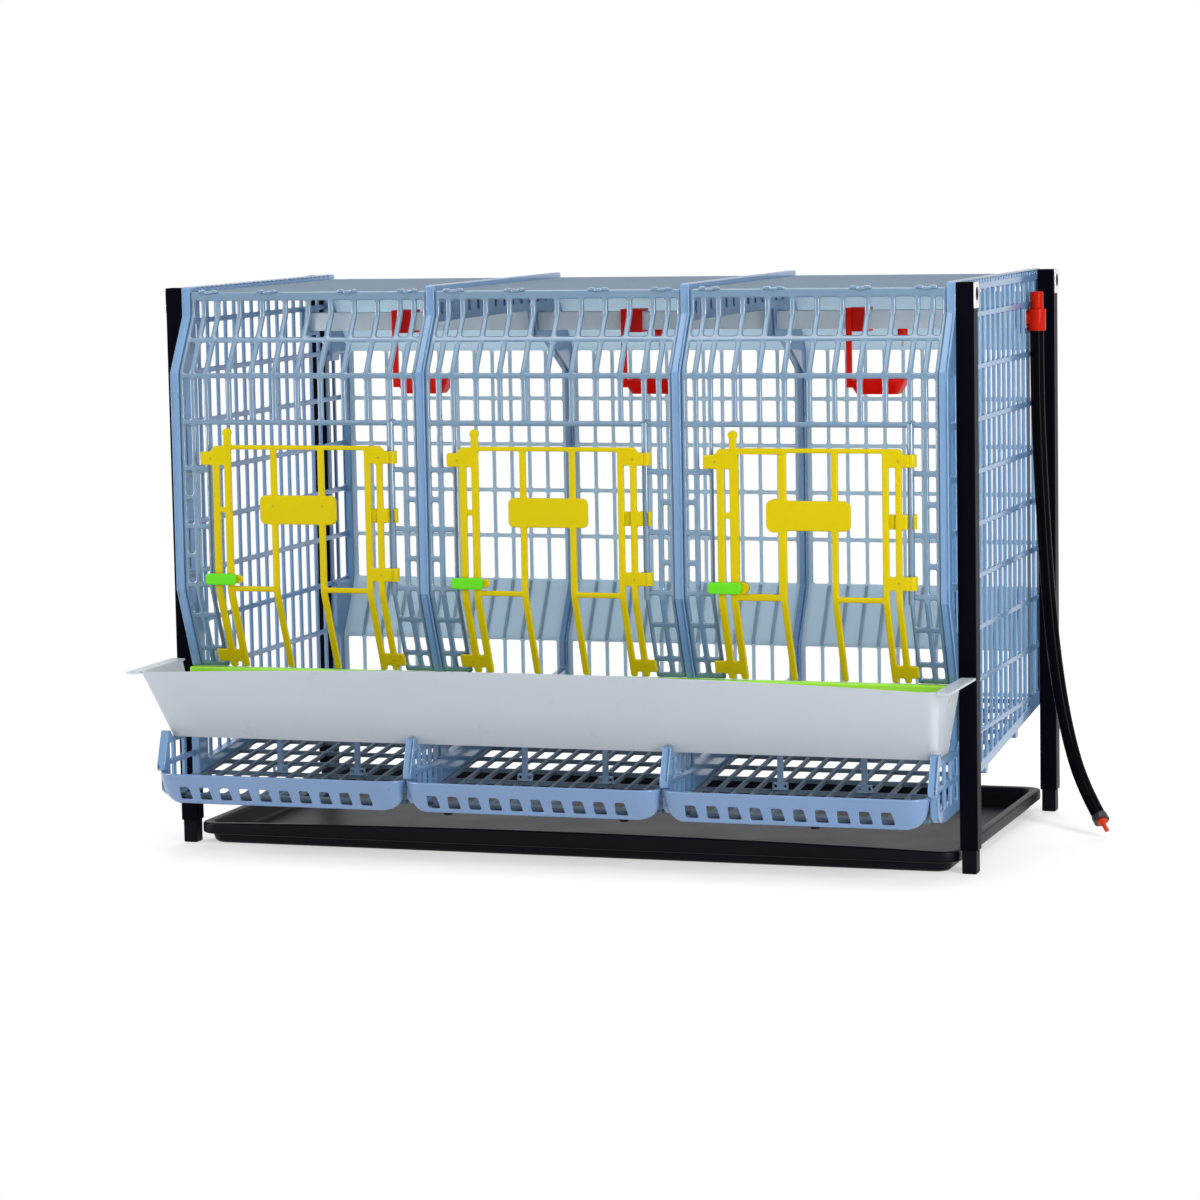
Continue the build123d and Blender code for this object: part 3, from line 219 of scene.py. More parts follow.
plug_orange = moulded_finish("Plug_orange", srgb(190, 50, 12), drift=0.1, shine=0.35, Specular_IOR_Level=0.2)
collar_black = moulded_finish("Collar_black", srgb(26, 25, 32), drift=0.15, shine=0.38)
hose_ends = [dress("hose_collar", collar_black), dress("hose_plug", plug_orange, edge=0.0005)]

# The posts: square steel tube sprayed black, with a stepped plastic plug pushed in each foot.
# A bright zinc plate with an oval bolt hole is spot-welded on the outer face at each open top.
post_paint = moulded_finish(
    "Post_paint",
    srgb(6, 6, 13),
    drift=0.2,
    shine=0.28,
    grain=0.0015,
    depth=0.00004,
    Specular_IOR_Level=0.015,
)
plug_black = moulded_finish(
    "Foot_plug_black",
    srgb(10, 10, 17),
    drift=0.15,
    shine=0.42,
    Specular_IOR_Level=0.05,
)
for corner in ("front_left", "front_right", "rear_left", "rear_right"):
    dress("post_" + corner, post_paint, edge=0.0012)
dress("post_foot_plugs", plug_black, edge=0.0015)
zinc = moulded_finish(
    "Plate_zinc",
    srgb(226, 222, 220),
    drift=0.06,
    shine=0.32,
    grain=0.0006,
    depth=0.00003,
    Metallic=0.85,
)
dress("post_joining_plates", zinc, edge=0.0003)
POST_HALF = 0.010
HOLE_HALF_WIDTH = 0.00525
HOLE_HALF_HEIGHT = 0.007
HOLE_RISE = 0.0015
HOLE_RIM = 1.2
# The zinc in and just round each oval bolt hole is coloured near black: painted shade for the dark inside of
# the hole.
hole_painted_shade = srgb(9, 9, 14)
plate_low, plate_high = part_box("post_joining_plates")
plate_middle = (plate_low + plate_high) / 2
hole_reach = plate_high.y - POST_HALF - plate_middle.y


def rim_step(operation, one, two):
    """One sum in the zinc's nodes, on the outputs or numbers given."""
    node = zinc.node_tree.nodes.new("ShaderNodeMath")
    node.operation = operation
    for socket, value in zip(node.inputs, (one, two)):
        if isinstance(value, float):
            socket.default_value = value
        else:
            zinc.node_tree.links.new(value, socket)
    return node.outputs[0]


plate_spot = zinc.node_tree.nodes.new("ShaderNodeSeparateXYZ")
zinc.node_tree.links.new(
    zinc.node_tree.nodes["Texture Coordinate"].outputs["Object"], plate_spot.inputs[0]
)
from_middle = rim_step("SUBTRACT", plate_spot.outputs["Y"], plate_middle.y)
from_post = rim_step("SUBTRACT", rim_step("ABSOLUTE", from_middle, 0.0), hole_reach)
from_level = rim_step("SUBTRACT", plate_spot.outputs["Z"], plate_middle.z + HOLE_RISE)
across_hole = rim_step("DIVIDE", from_post, HOLE_HALF_WIDTH)
up_hole = rim_step("DIVIDE", from_level, HOLE_HALF_HEIGHT)
hole_share = rim_step(
    "ADD", rim_step("MULTIPLY", across_hole, across_hole), rim_step("MULTIPLY", up_hole, up_hole)
)
# Inside the oval, which reaches a little past the hole's edge, the plate's colour gives way to the painted hole
# shade.
in_hole_shade = rim_step("LESS_THAN", hole_share, HOLE_RIM)
hole_shade_tint = zinc.node_tree.nodes.new("ShaderNodeMix")
hole_shade_tint.data_type = "RGBA"
hole_shade_tint.inputs[COLOUR_TWO].default_value = hole_painted_shade
plate_colour = zinc.node_tree.nodes["Principled BSDF"].inputs["Base Color"]
zinc.node_tree.links.new(plate_colour.links[0].from_socket, hole_shade_tint.inputs[COLOUR_ONE])
zinc.node_tree.links.new(in_hole_shade, hole_shade_tint.inputs[0])
zinc.node_tree.links.new(hole_shade_tint.outputs[MIXED_COLOUR], plate_colour)


# The end walls and the frames between the cells: one moulding each, of light blue polypropylene.
# All openings have rounded corners and soft edges; tongues clip them to the posts and the panels.
WELD = 0.000001
SMALLEST_PATCH = 0.01
LEAST_FACING = 0.7
STRAIGHT_TURN = math.radians(2)
SLIGHT_TURN = math.radians(15)
CORNER_SHARE = 0.45
CORNER_STEPS = (0.0, 0.3, 0.7, 1.0)
FOLDS = (-1.0, -0.5, 0.0, 0.5, 1.0)
LEAST_KNEE = 1e-8


def face_rings(node, facing, skip):
    """Outlines and openings of the broad sides of a moulding that face one way."""
    solid = bmesh.new()
    solid.from_mesh(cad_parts[node].data)
    bmesh.ops.remove_doubles(solid, verts=solid.verts, dist=WELD)
    solid.normal_update()
    loose = {face for face in solid.faces if face.normal.dot(facing) > LEAST_FACING}
    if skip:
        loose = {face for face in loose if not skip(face.calc_center_median())}
    patches = []
    while loose:
        patch = [loose.pop()]
        for face in patch:
            for edge in face.edges:
                for other in edge.link_faces:
                    if other in loose:
                        loose.remove(other)
                        patch.append(other)
        patches.append((sum(face.calc_area() for face in patch), patch))
    least = SMALLEST_PATCH * max(area for area, patch in patches)
    side = {face for area, patch in patches if area > least for face in patch}
    steps = {}
    for face in side:
        for loop in face.loops:
            if sum(other in side for other in loop.edge.link_faces) == 1:
                steps.setdefault(loop.vert, []).append(loop.link_loop_next.vert)
    rings = []
    while steps:
        walk = [next(iter(steps))]
        while walk:
            here = walk[-1]
            if here not in steps:
                walk.pop()
                continue
            after = steps[here].pop()
            if not steps[here]:
                del steps[here]
            if after in walk:
                start = walk.index(after)
                rings.append([vert.co.copy() for vert in walk[start:]])
                walk = walk[: start + 1]
            else:
                walk.append(after)
    solid.free()
    return rings


def turn_at(before, here, after):
    one = here - before
    two = after - here
    if one.length < WELD or two.length < WELD:
        return 0.0
    return one.angle(two)


def rounded_ring(points, corner):
    """Ring without the points that lie in line, its sharp corners rounded off."""
    count = len(points)
    turns = [turn_at(points[i - 1], points[i], points[(i + 1) % count]) for i in range(count)]
    points = [point for point, turn in zip(points, turns) if turn > STRAIGHT_TURN]
    count = len(points)
    ring = []
    for i, here in enumerate(points):
        before = points[i - 1] - here
        after = points[(i + 1) % count] - here
        turn = math.pi - before.angle(after)
        if turn < SLIGHT_TURN:
            ring.append(here)
            continue
        room = CORNER_SHARE * min(before.length, after.length)
        reach = min(corner * math.tan(turn / 2), room)
        start = here + before.normalized() * reach
        end = here + after.normalized() * reach
        for share in CORNER_STEPS:
            ring.append((1 - share) ** 2 * start + 2 * share * (1 - share) * here + share ** 2 * end)
    return ring


def flat_sheet(rings, thickness, edge, corner):
    """Flat sheet with soft edges, its outlines and openings given as rings of points."""
    curve = bpy.data.curves.new("Drawing", "CURVE")
    curve.dimensions = "2D"
    curve.fill_mode = "BOTH"
    curve.extrude = thickness / 2 - edge
    curve.bevel_depth = edge
    curve.bevel_resolution = 2
    curve.offset = -edge
    for ring in rings:
        flat = rounded_ring([Vector(point) for point in ring], corner)
        spline = curve.splines.new("POLY")
        spline.points.add(len(flat) - 1)
        for knot, point in zip(spline.points, flat):
            knot.co = (point.x, point.y, 0.0, 1.0)
        spline.use_cyclic_u = True
    drawing = bpy.data.objects.new("Drawing", curve)
    bpy.context.scene.collection.objects.link(drawing)
    bpy.context.view_layer.update()
    mesh = bpy.data.meshes.new_from_object(drawing.evaluated_get(bpy.context.evaluated_depsgraph_get()))
    bpy.data.objects.remove(drawing)
    bpy.data.curves.remove(curve)
    sheet = bmesh.new()
    sheet.from_mesh(mesh)
    bpy.data.meshes.remove(mesh)
    bmesh.ops.remove_doubles(sheet, verts=sheet.verts, dist=WELD)
    return sheet


def score(sheet, place, across):
    """Cuts a flat sheet along a line, so that it can be bent there."""
    everything = sheet.verts[:] + sheet.edges[:] + sheet.faces[:]
    way = Vector((1, 0, 0)) if across else Vector((0, 1, 0))
    bmesh.ops.bisect_plane(sheet, geom=everything, plane_co=way * place, plane_no=way, dist=WELD)


def merge(shape, sheet):
    """Adds a bent sheet to a shape."""
    bmesh.ops.recalc_face_normals(sheet, faces=sheet.faces)
    mesh = bpy.data.meshes.new("Sheet")
    sheet.to_mesh(mesh)
    sheet.free()
    shape.from_mesh(mesh)
    bpy.data.meshes.remove(mesh)


def draw_sheet(shape, node, axis, side, thickness, edge, corner, bend=0.0, skip=None, ceiling=math.inf):
    """Adds to shape a soft-edged sheet drawn from one face of a flat or bent solid.

    axis is the way through the sheet, and side says which of its two faces is drawn.
    Faces that skip names are left out, and what stands above the ceiling is cut off.
    """
    across, along = ((1, 2), (0, 2), (0, 1))[axis]
    facing = Vector([side if i == axis else 0.0 for i in range(3)])
    rings = face_rings(node, facing, skip)
    for ring in rings:
        for point in ring:
            point[along] = min(point[along], ceiling)
    levels = sorted({round(point[along], 6): point[axis] for ring in rings for point in ring}.items())
    knees = [levels[0]]
    for here, after in zip(levels[1:], levels[2:]):
        straight = (here[1] - knees[-1][1]) * (after[0] - here[0])
        if abs(straight - (after[1] - here[1]) * (here[0] - knees[-1][0])) > LEAST_KNEE:
            knees.append(here)
    knees.append(levels[-1])
    places = [knee[0] for knee in knees]

    def height(place):
        i = min(max(bisect.bisect_right(places, place), 1), len(knees) - 1)
        (a0, h0), (a1, h1) = knees[i - 1], knees[i]
        return h0 + (h1 - h0) * (place - a0) / (a1 - a0)

    flat_rings = [[(point[across], point[along]) for point in ring] for ring in rings]
    sheet = flat_sheet(flat_rings, thickness, edge, corner)
    folds = FOLDS if bend else (0.0,)
    for place in places[1:-1]:
        for fold in folds:
            score(sheet, place + fold * bend, False)
    for vert in sheet.verts:
        u, v, w = vert.co
        middle = sum(height(v + fold * bend) for fold in folds) / len(folds)
        spot = [0.0, 0.0, 0.0]
        spot[across] = u
        spot[along] = v
        spot[axis] = middle + side * (w - thickness / 2)
        vert.co = spot
    merge(shape, sheet)


def add_box(shape, low, high):
    """Adds a plain block between two corners."""
    size = Vector(high) - Vector(low)
    middle = (Vector(high) + Vector(low)) / 2
    bmesh.ops.create_cube(shape, size=1.0, matrix=Matrix.Translation(middle) @ Matrix.Diagonal((*size, 1.0)))


def moulding(name, shape, node, body, slot, *materials):
    """Makes a drawn shape into the visible piece that stands in for a node."""
    for face in shape.faces:
        face.smooth = True
    mesh = bpy.data.meshes.new(name)
    shape.to_mesh(mesh)
    shape.free()
    for material in materials:
        mesh.materials.append(material)
    piece = bpy.data.objects.new(name, mesh)
    bpy.context.scene.collection.objects.link(piece)
    even = piece.modifiers.new("Flat faces", "WEIGHTED_NORMAL")
    even.weight = 60
    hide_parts(node)
    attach(piece, body)
    return piece


WALL_THICKNESS = 0.010
WEB = 0.004
SEAM = 0.0002
SLOT_BACK = (0.0005, 0.0025)
SLOT_RUN = (-0.159332, 0.248668)
SLOT_LEVELS = (0.64025, 0.64625)
wall_blue = moulded_finish(
    "Wall_blue",
    srgb(104, 143, 184),
    drift=0.12,
    shine=0.24,
    through=0.2,
    Specular_IOR_Level=0.7,
    Coat_Weight=0.7,
    Coat_Roughness=0.08,
)
WALL_SIDES = {"side_panel_left": -1, "side_panel_right": 1, "partition_frame_1": 1, "partition_frame_2": 1}
for node, way in WALL_SIDES.items():
    wall = bmesh.new()
    draw_sheet(wall, node, axis=0, side=way, thickness=WEB, edge=0.0009, corner=0.0025)
    inner_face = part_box(node)[0 if way > 0 else 1].x

    def off_face(point, inner_face=inner_face):
        return abs(point.x - inner_face) > SEAM

    body = WALL_THICKNESS - SEAM
    draw_sheet(wall, node, axis=0, side=-way, thickness=body, edge=0.0012, corner=0.0028, skip=off_face)
    if node.startswith("side"):
        depths = sorted(inner_face + way * depth for depth in SLOT_BACK)
        add_box(wall, *zip(depths, SLOT_RUN, SLOT_LEVELS))
    moulding(node.capitalize(), wall, node, "cage", "blue_plastic", wall_blue)

# The back panels: bent nets of the same blue plastic, clipped between the walls.
# Their upper slope and the plate above the floor are solid, with low ribs in line with the bars.
NET_THICKNESS = 0.006
BEND = 0.006
BACK_COLUMNS = 12
BACK_EDGE = 0.005
BACK_BAR = 0.0036
RIB_HEIGHT = 0.0015
RIB_FOOT = Vector((0, 0.264668, 0.192))
RIB_TOP = Vector((0, 0.304668, 0.260))
# Their blue is drawn much lighter and greyer than the walls and nets of the same plastic: painted light for the
# light that falls on them and shines through them from behind.
back_blue_painted_light = moulded_finish("Back_blue_painted_light", srgb(156, 178, 192), drift=0.08, shine=0.34, through=0.6)
rib_way = (RIB_TOP - RIB_FOOT).normalized()
rib_up = Vector((1, 0, 0)).cross(rib_way)
rib_form = Matrix.Translation((RIB_FOOT + RIB_TOP) / 2) @ Matrix(
    (Vector((BACK_BAR, 0, 0)), rib_way * (RIB_TOP - RIB_FOOT).length, rib_up * 2 * RIB_HEIGHT)
).transposed().to_4x4()
for number in (1, 2, 3):
    back = bmesh.new()
    node = f"back_panel_{number}"
    draw_sheet(back, node, axis=1, side=-1, thickness=NET_THICKNESS, edge=0.0012, corner=0.003, bend=BEND)
    low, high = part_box(node)
    step = (high.x - low.x - 2 * BACK_EDGE + BACK_BAR) / BACK_COLUMNS
    for i in range(1, BACK_COLUMNS):
        x = low.x + BACK_EDGE + i * step - BACK_BAR / 2
        bmesh.ops.create_cube(back, size=1.0, matrix=Matrix.Translation((x, 0, 0)) @ rib_form)
    moulding(f"Back_panel_{number}", back, node, "cage", "blue_plastic", back_blue_painted_light)

# The roof panels: smooth grey-blue plates, one a cell, that lie between the walls' upper edges.
# The front panels' hooks snap over their front edges.
roof_grey = moulded_finish(
    "Roof_grey",
    srgb(140, 154, 168),
    drift=0.06,
    shine=0.6,
    through=0.5,
    Specular_IOR_Level=0.0,
)
FLUTE_SCALE = 26.2
FLUTE_DEPTH = 0.0008
flutes = roof_grey.node_tree.nodes.new("ShaderNodeTexWave")
flutes.wave_type = "BANDS"
flutes.bands_direction = "X"
flutes.inputs["Scale"].default_value = FLUTE_SCALE
fluted = roof_grey.node_tree.nodes.new("ShaderNodeBump")
fluted.inputs["Distance"].default_value = FLUTE_DEPTH
roof_links = roof_grey.node_tree.links
roof_links.new(roof_grey.node_tree.nodes["Texture Coordinate"].outputs["Object"], flutes.inputs["Vector"])
roof_links.new(flutes.outputs["Fac"], fluted.inputs["Height"])
roof_links.new(fluted.outputs[0], roof_grey.node_tree.nodes["Bump"].inputs["Normal"])
for number in (1, 2, 3):
    dress(f"roof_panel_{number}", roof_grey, edge=0.001)

# The floor grids: plastic drawn in a dark slate grey as painted shade, sloping to the front so that eggs roll
# out.
# Their long bars stand on the walls' lower edges, and a narrower tongue reaches into the egg lip.
FLOOR_THICKNESS = 0.005
# The dark slate grey is painted shade for the shadow the grids lie in inside the cage.
floor_painted_shade = moulded_finish(
    "Floor_painted_shade",
    srgb(80, 96, 112),
    drift=0.1,
    shine=0.5,
    Specular_IOR_Level=0.2,
)
for number in (1, 2, 3):
    floor = bmesh.new()
    node = f"floor_grid_{number}"
    draw_sheet(floor, node, axis=2, side=1, thickness=FLOOR_THICKNESS, edge=0.0012, corner=0.0018)
    moulding(f"Floor_grid_{number}", floor, node, "cage", "slate_plastic", floor_painted_shade)

# The egg lips: light blue trays with rounded ends and a row of windows, clipped on the floor's front edge.
# The floor's tongue rests on a shelf inside them, and small black plugs underneath hold the clips.
LIP_WALL = 0.003
LIP_FOOT = 0.066
LIP_TOP = 0.100
LIP_REAR = -0.271832
LIP_FRONT = {LIP_FOOT: -0.283332, LIP_TOP: -0.294332}
LIP_LEFT = {LIP_FOOT: -0.147, LIP_TOP: -0.153}
LIP_RIGHT = {LIP_FOOT: 0.140, LIP_TOP: 0.146}
LIP_STRAIGHT = (-0.127, 0.120)
LIP_TURN = 0.036
LIP_TURN_STEPS = 9
LIP_TUCK = 0.016
LIP_TUCK_HEIGHT = 0.018
LIP_TUCK_CUTS = (0.02, 0.08, 0.18, 0.33, 0.55, 0.8)
LIP_SHELF_HALF = 0.122
LIP_SHELF_FRONT = -0.278832
WINDOWS = 10
WINDOW_PITCH = 0.0244
WINDOW_START = -0.1243
WINDOW_LEVELS = (0.0705, 0.085)
WINDOW_WIDTHS = (0.015, 0.0115)
lip_blue = moulded_finish(
    "Lip_blue",
    srgb(106, 135, 173),
    drift=0.08,
    shine=0.3,
    through=0.15,
    Coat_Weight=0.6,
    Coat_Roughness=0.1,
)


def lip_level(run, level):
    """Spot on the lip's outside at its foot or its top; run goes from the left end to the right."""
    start, end = LIP_STRAIGHT
    front = LIP_FRONT[level]
    if start <= run <= end:
        return Vector((run, front, level))
    past = run - end if run > end else run - start
    angle = math.pi / 2 * abs(past) / LIP_TURN
    reach = LIP_RIGHT[level] - end if past > 0 else LIP_LEFT[level] - start
    x = (end if past > 0 else start) + reach * math.sin(angle)
    return Vector((x, LIP_REAR + (front - LIP_REAR) * math.cos(angle), level))


def lip_spot(run, level):
    """Spot on the lip's outside at any level; near the foot the ends are rounded in."""
    share = (level - LIP_FOOT) / (LIP_TOP - LIP_FOOT)
    spot = lip_level(run, LIP_FOOT).lerp(lip_level(run, LIP_TOP), share)
    start, end = LIP_STRAIGHT
    past = min(max(run - end, start - run, 0.0) / LIP_TURN, 1.0)
    drop = min(max(1 - (level - LIP_FOOT) / LIP_TUCK_HEIGHT, 0.0), 1.0)
    tuck = LIP_TUCK * (1 - math.sqrt(1 - drop ** 2)) * math.sin(math.pi / 2 * past)
    spot.x -= math.copysign(tuck, run)
    return spot


lip_start = LIP_STRAIGHT[0] - LIP_TURN
lip_end = LIP_STRAIGHT[1] + LIP_TURN
lip_rings = [[(lip_start, LIP_FOOT), (lip_end, LIP_FOOT), (lip_end, LIP_TOP), (lip_start, LIP_TOP)]]
for i in range(WINDOWS):
    x = WINDOW_START + i * WINDOW_PITCH
    corners = [(x, WINDOW_LEVELS[0]), (x + WINDOW_WIDTHS[0], WINDOW_LEVELS[0])]
    corners += [(x + WINDOW_WIDTHS[1], WINDOW_LEVELS[1]), (x, WINDOW_LEVELS[1])]
    lip_rings.append(corners)
lip_turns = [LIP_TURN * i / LIP_TURN_STEPS for i in range(LIP_TURN_STEPS)]
STEP = 0.0001
CELL_CENTRES = {1: -0.3, 2: 0.0, 3: 0.3}
shelf_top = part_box("floor_grid_1")[0].z - SEAM
for number, centre in CELL_CENTRES.items():
    lip = bmesh.new()
    wall = flat_sheet(lip_rings, LIP_WALL, edge=0.0011, corner=0.0022)
    for turn in lip_turns:
        score(wall, LIP_STRAIGHT[0] - turn, True)
        score(wall, LIP_STRAIGHT[1] + turn, True)
    for cut in LIP_TUCK_CUTS:
        score(wall, LIP_FOOT + cut * LIP_TUCK_HEIGHT, False)
    for vert in wall.verts:
        run, level, depth = vert.co
        along_lip = lip_spot(run + STEP, level) - lip_spot(run - STEP, level)
        up_lip = lip_spot(run, level + STEP) - lip_spot(run, level - STEP)
        outward = along_lip.cross(up_lip).normalized()
        vert.co = lip_spot(run, level) + outward * (depth - LIP_WALL / 2) + Vector((centre, 0, 0))
    merge(lip, wall)
    runs = [LIP_STRAIGHT[0] - turn for turn in (*lip_turns, LIP_TURN)][::-1]
    runs += [LIP_STRAIGHT[1] + turn for turn in (*lip_turns, LIP_TURN)]
    lip_floor = []
    for lift in (0.0, LIP_WALL):
        middle = Vector((centre, 0, lift))
        lip_floor.append([lip.verts.new(lip_spot(run, LIP_FOOT) + middle) for run in runs])
    under, over = lip_floor
    lip.faces.new(under[::-1])
    lip.faces.new(over)
    for i in range(len(under)):
        lip.faces.new((under[i - 1], under[i], over[i], over[i - 1]))
    add_box(
        lip,
        (centre - LIP_SHELF_HALF, LIP_SHELF_FRONT, LIP_FOOT),
        (centre + LIP_SHELF_HALF, LIP_REAR, shelf_top),
    )
    moulding(f"Egg_lip_{number}", lip, f"egg_lip_{number}", "cage", "blue_plastic", lip_blue)
dress("lip_plugs", plug_black, edge=0.0006)

# The sill and its legs: a lime strip in front of the panels' feet, propped on the floor.
# The blue legs end in loops that stand on the floor's bars.
sill_lime = moulded_finish("Sill_lime", srgb(150, 214, 52), drift=0.08, shine=0.34)
dress("feed_sill", sill_lime, edge=0.002)
leg_blue = moulded_finish("Leg_blue", srgb(112, 140, 170), drift=0.08, shine=0.34)
dress("sill_legs", leg_blue, edge=0.001)

# The front panels: blue nets bent twice, hooked over the roof and standing on the sill.
# The round bar at the right of the doorway carries the door's clips.
front_blue = moulded_finish(
    "Front_blue",
    srgb(94, 127, 154),
    drift=0.12,
    shine=0.22,
    through=0.2,
    Specular_IOR_Level=1.0,
    Coat_Weight=1.0,
    Coat_Roughness=0.08,
)
HINGE_OFFSET = 0.112
FRONT_BEND = 0.003
ROD_RADIUS = 0.0038
ROD_HALF_FACE = 0.00275
ROD_FOOT = 0.300
ROD_TOP = 0.496
HOOK_OFFSETS = (-0.1225, -0.049, 0.049, 0.1225)
HOOK_LUMPS = ((-0.0075, 0.0006), (0.0, -0.0008), (0.0075, 0.0006))
HOOK_LUMP_HALVES = (0.0052, 0.0022, 0.0024)
HOOK_FACE = -0.1733
hinge_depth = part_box("front_panel_1")[0].y + ROD_RADIUS
roof_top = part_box("roof_panel_1")[1].z


def on_rod(point):
    """True for the faces of the first panel's round bar."""
    beside = abs(point.x - CELL_CENTRES[1] - HINGE_OFFSET)
    return beside < ROD_HALF_FACE and ROD_FOOT < point.z < ROD_TOP


for number, centre in CELL_CENTRES.items():
    hinge = centre + HINGE_OFFSET
    panel = bmesh.new()
    draw_sheet(
        panel,
        "front_panel_1",
        axis=1,
        side=-1,
        thickness=NET_THICKNESS,
        edge=0.0021,
        corner=0.0026,
        bend=FRONT_BEND,
        skip=on_rod,
        ceiling=roof_top,
    )
    bmesh.ops.translate(panel, verts=panel.verts, vec=(centre - CELL_CENTRES[1], 0, 0))
    for offset in HOOK_OFFSETS:
        for across, lift in HOOK_LUMPS:
            spot = Matrix.Translation((centre + offset + across, HOOK_FACE, roof_top + lift))
            lump = spot @ Matrix.Diagonal((*HOOK_LUMP_HALVES, 1.0))
            bmesh.ops.create_uvsphere(panel, u_segments=12, v_segments=8, radius=1.0, matrix=lump)
    bmesh.ops.create_cone(
        panel,
        cap_ends=True,
        segments=20,
        radius1=ROD_RADIUS,
        radius2=ROD_RADIUS,
        depth=ROD_TOP - ROD_FOOT,
        matrix=Matrix.Translation((hinge, hinge_depth, (ROD_FOOT + ROD_TOP) / 2)),
    )
    moulding(f"Front_panel_{number}", panel, f"front_panel_{number}", "cage", "blue_plastic", front_blue)

# The doors: yellow gloss plastic frames bent like the panels, with a blank name plate and a knob.
# Three clips at the right grip the panel's round bar, two from the front and one from behind.
DOOR_THICKNESS = 0.006
door_yellow = moulded_finish(
    "Door_yellow",
    srgb(184, 166, 0),
    drift=0.07,
    shine=0.26,
    Specular_IOR_Level=0.12,
)
KNUCKLES = ((0.449, 0.463, 1), (0.3155, 0.3305, 1), (0.382, 0.398, -1))
KNUCKLE_BORE = 0.0039
KNUCKLE_OUTER = 0.0066
KNUCKLE_MOUTH = math.radians(42)
KNUCKLE_STEPS = 18


def add_clip(shape, x, y, low, high, mouth_way):
    """C-shaped clip round an upright bar, its mouth to the back (1) or to the front (-1)."""
    rows = []
    for step in range(KNUCKLE_STEPS + 1):
        angle = KNUCKLE_MOUTH + (2 * math.pi - 2 * KNUCKLE_MOUTH) * step / KNUCKLE_STEPS
        way = Vector((math.sin(angle), math.cos(angle) * mouth_way, 0))
        spots = [(KNUCKLE_BORE, low), (KNUCKLE_OUTER, low), (KNUCKLE_OUTER, high), (KNUCKLE_BORE, high)]
        rows.append([shape.verts.new(Vector((x, y, z)) + way * radius) for radius, z in spots])
    faces = [shape.faces.new(rows[0]), shape.faces.new(rows[-1][::-1])]
    for one, two in zip(rows, rows[1:]):
        for i in range(4):
            faces.append(shape.faces.new((one[i], two[i], two[i - 3], one[i - 3])))
    bmesh.ops.recalc_face_normals(shape, faces=faces)


STRAP = ((0.0855, 0.382), (0.100, 0.398))
STRAP_RECESS = 0.0025
# Spots of the doors' small holes, with two pricks in the first door's name plate; each is drawn as a thin
# darker yellow disc just proud of the face, as painted shade for the hole.
DOOR_HOLE_SPOTS = ((0.100, 0.456), (0.100, 0.323), (0.0995, 0.2228), (-0.1035, 0.2236), (-0.106, 0.4535))
PLATE_PRICKS = ((-0.0303, 0.4), (0.0303, 0.4))
HOLE_SHADE_RADIUS = 0.0013
HOLE_SHADE_PROUD = 0.00015


def sheet_front(node, x, z):
    """How far forward the front of a solid reaches at one spot."""
    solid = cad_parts[node]
    found, spot, normal, face = solid.ray_cast(Vector((x, -1.0, z)), Vector((0, 1, 0)))
    return spot.y if found else door_face


# The discs' darker yellow is painted shade for the holes.
door_hole_painted_shade = moulded_finish("Door_hole_painted_shade", srgb(150, 128, 4), drift=0.1, shine=0.5)
door_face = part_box("door_1")[0].y
for number, centre in CELL_CENTRES.items():
    door = bmesh.new()
    node = f"door_{number}"
    draw_sheet(door, "door_1", axis=1, side=-1, thickness=DOOR_THICKNESS, edge=0.0016, corner=0.0022, bend=BEND)
    bmesh.ops.translate(door, verts=door.verts, vec=(centre - CELL_CENTRES[1], 0, 0))
    for low, high, mouth_way in KNUCKLES:
        add_clip(door, centre + HINGE_OFFSET, hinge_depth, low, high, mouth_way)
    (x0, z0), (x1, z1) = STRAP
    add_box(door, (centre + x0, door_face + STRAP_RECESS, z0), (centre + x1, door_face + DOOR_THICKNESS, z1))
    for x, z in DOOR_HOLE_SPOTS + (PLATE_PRICKS if number == 1 else ()):
        face_y = sheet_front(node, centre + x, z)
        hole_shade_disc = bmesh.ops.create_cone(
            door,
            cap_ends=True,
            segments=14,
            radius1=HOLE_SHADE_RADIUS,
            radius2=HOLE_SHADE_RADIUS,
            depth=2 * HOLE_SHADE_PROUD,
            matrix=Matrix.Translation((centre + x, face_y, z)) @ Matrix.Rotation(math.pi / 2, 4, "X"),
        )
        # The disc's faces take the second material, the painted hole shade.
        for vert in hole_shade_disc["verts"]:
            for face in vert.link_faces:
                face.material_index = 1
    moulding(f"Door_{number}", door, node, node, "yellow_plastic", door_yellow, door_hole_painted_shade)
    dress(f"latch_pin_{number}", door_yellow, edge=0.0004)

# The latches: small green levers of gloss plastic, each pushed on a pin of its door's left bar.
# Their tips lie over the front panel's frame, and a quarter turn upwards frees the door.
LATCH_THICKNESS = 0.005
latch_green = moulded_finish(
    "Latch_green",
    srgb(84, 188, 10),
    drift=0.08,
    shine=0.3,
    Specular_IOR_Level=0.3,
)
for number in (1, 2, 3):
    latch = bmesh.new()
    node = f"latch_{number}"
    draw_sheet(latch, node, axis=1, side=-1, thickness=LATCH_THICKNESS, edge=0.0014, corner=0.001)
    moulding(f"Latch_{number}", latch, node, node, "green_plastic", latch_green)

# The feed trough: long channel of white plastic, open at the top, with a flat rim all round.
# It rests on the walls' brackets behind their tips, and lifts off to the front for cleaning.
trough_white = moulded_finish(
    "Trough_white",
    srgb(184, 191, 198),
    drift=0.03,
    shine=0.3,
    grain=0.001,
    through=0.2,
    Specular_IOR_Level=0.3,
)
dress("feed_trough", trough_white, edge=0.0008)

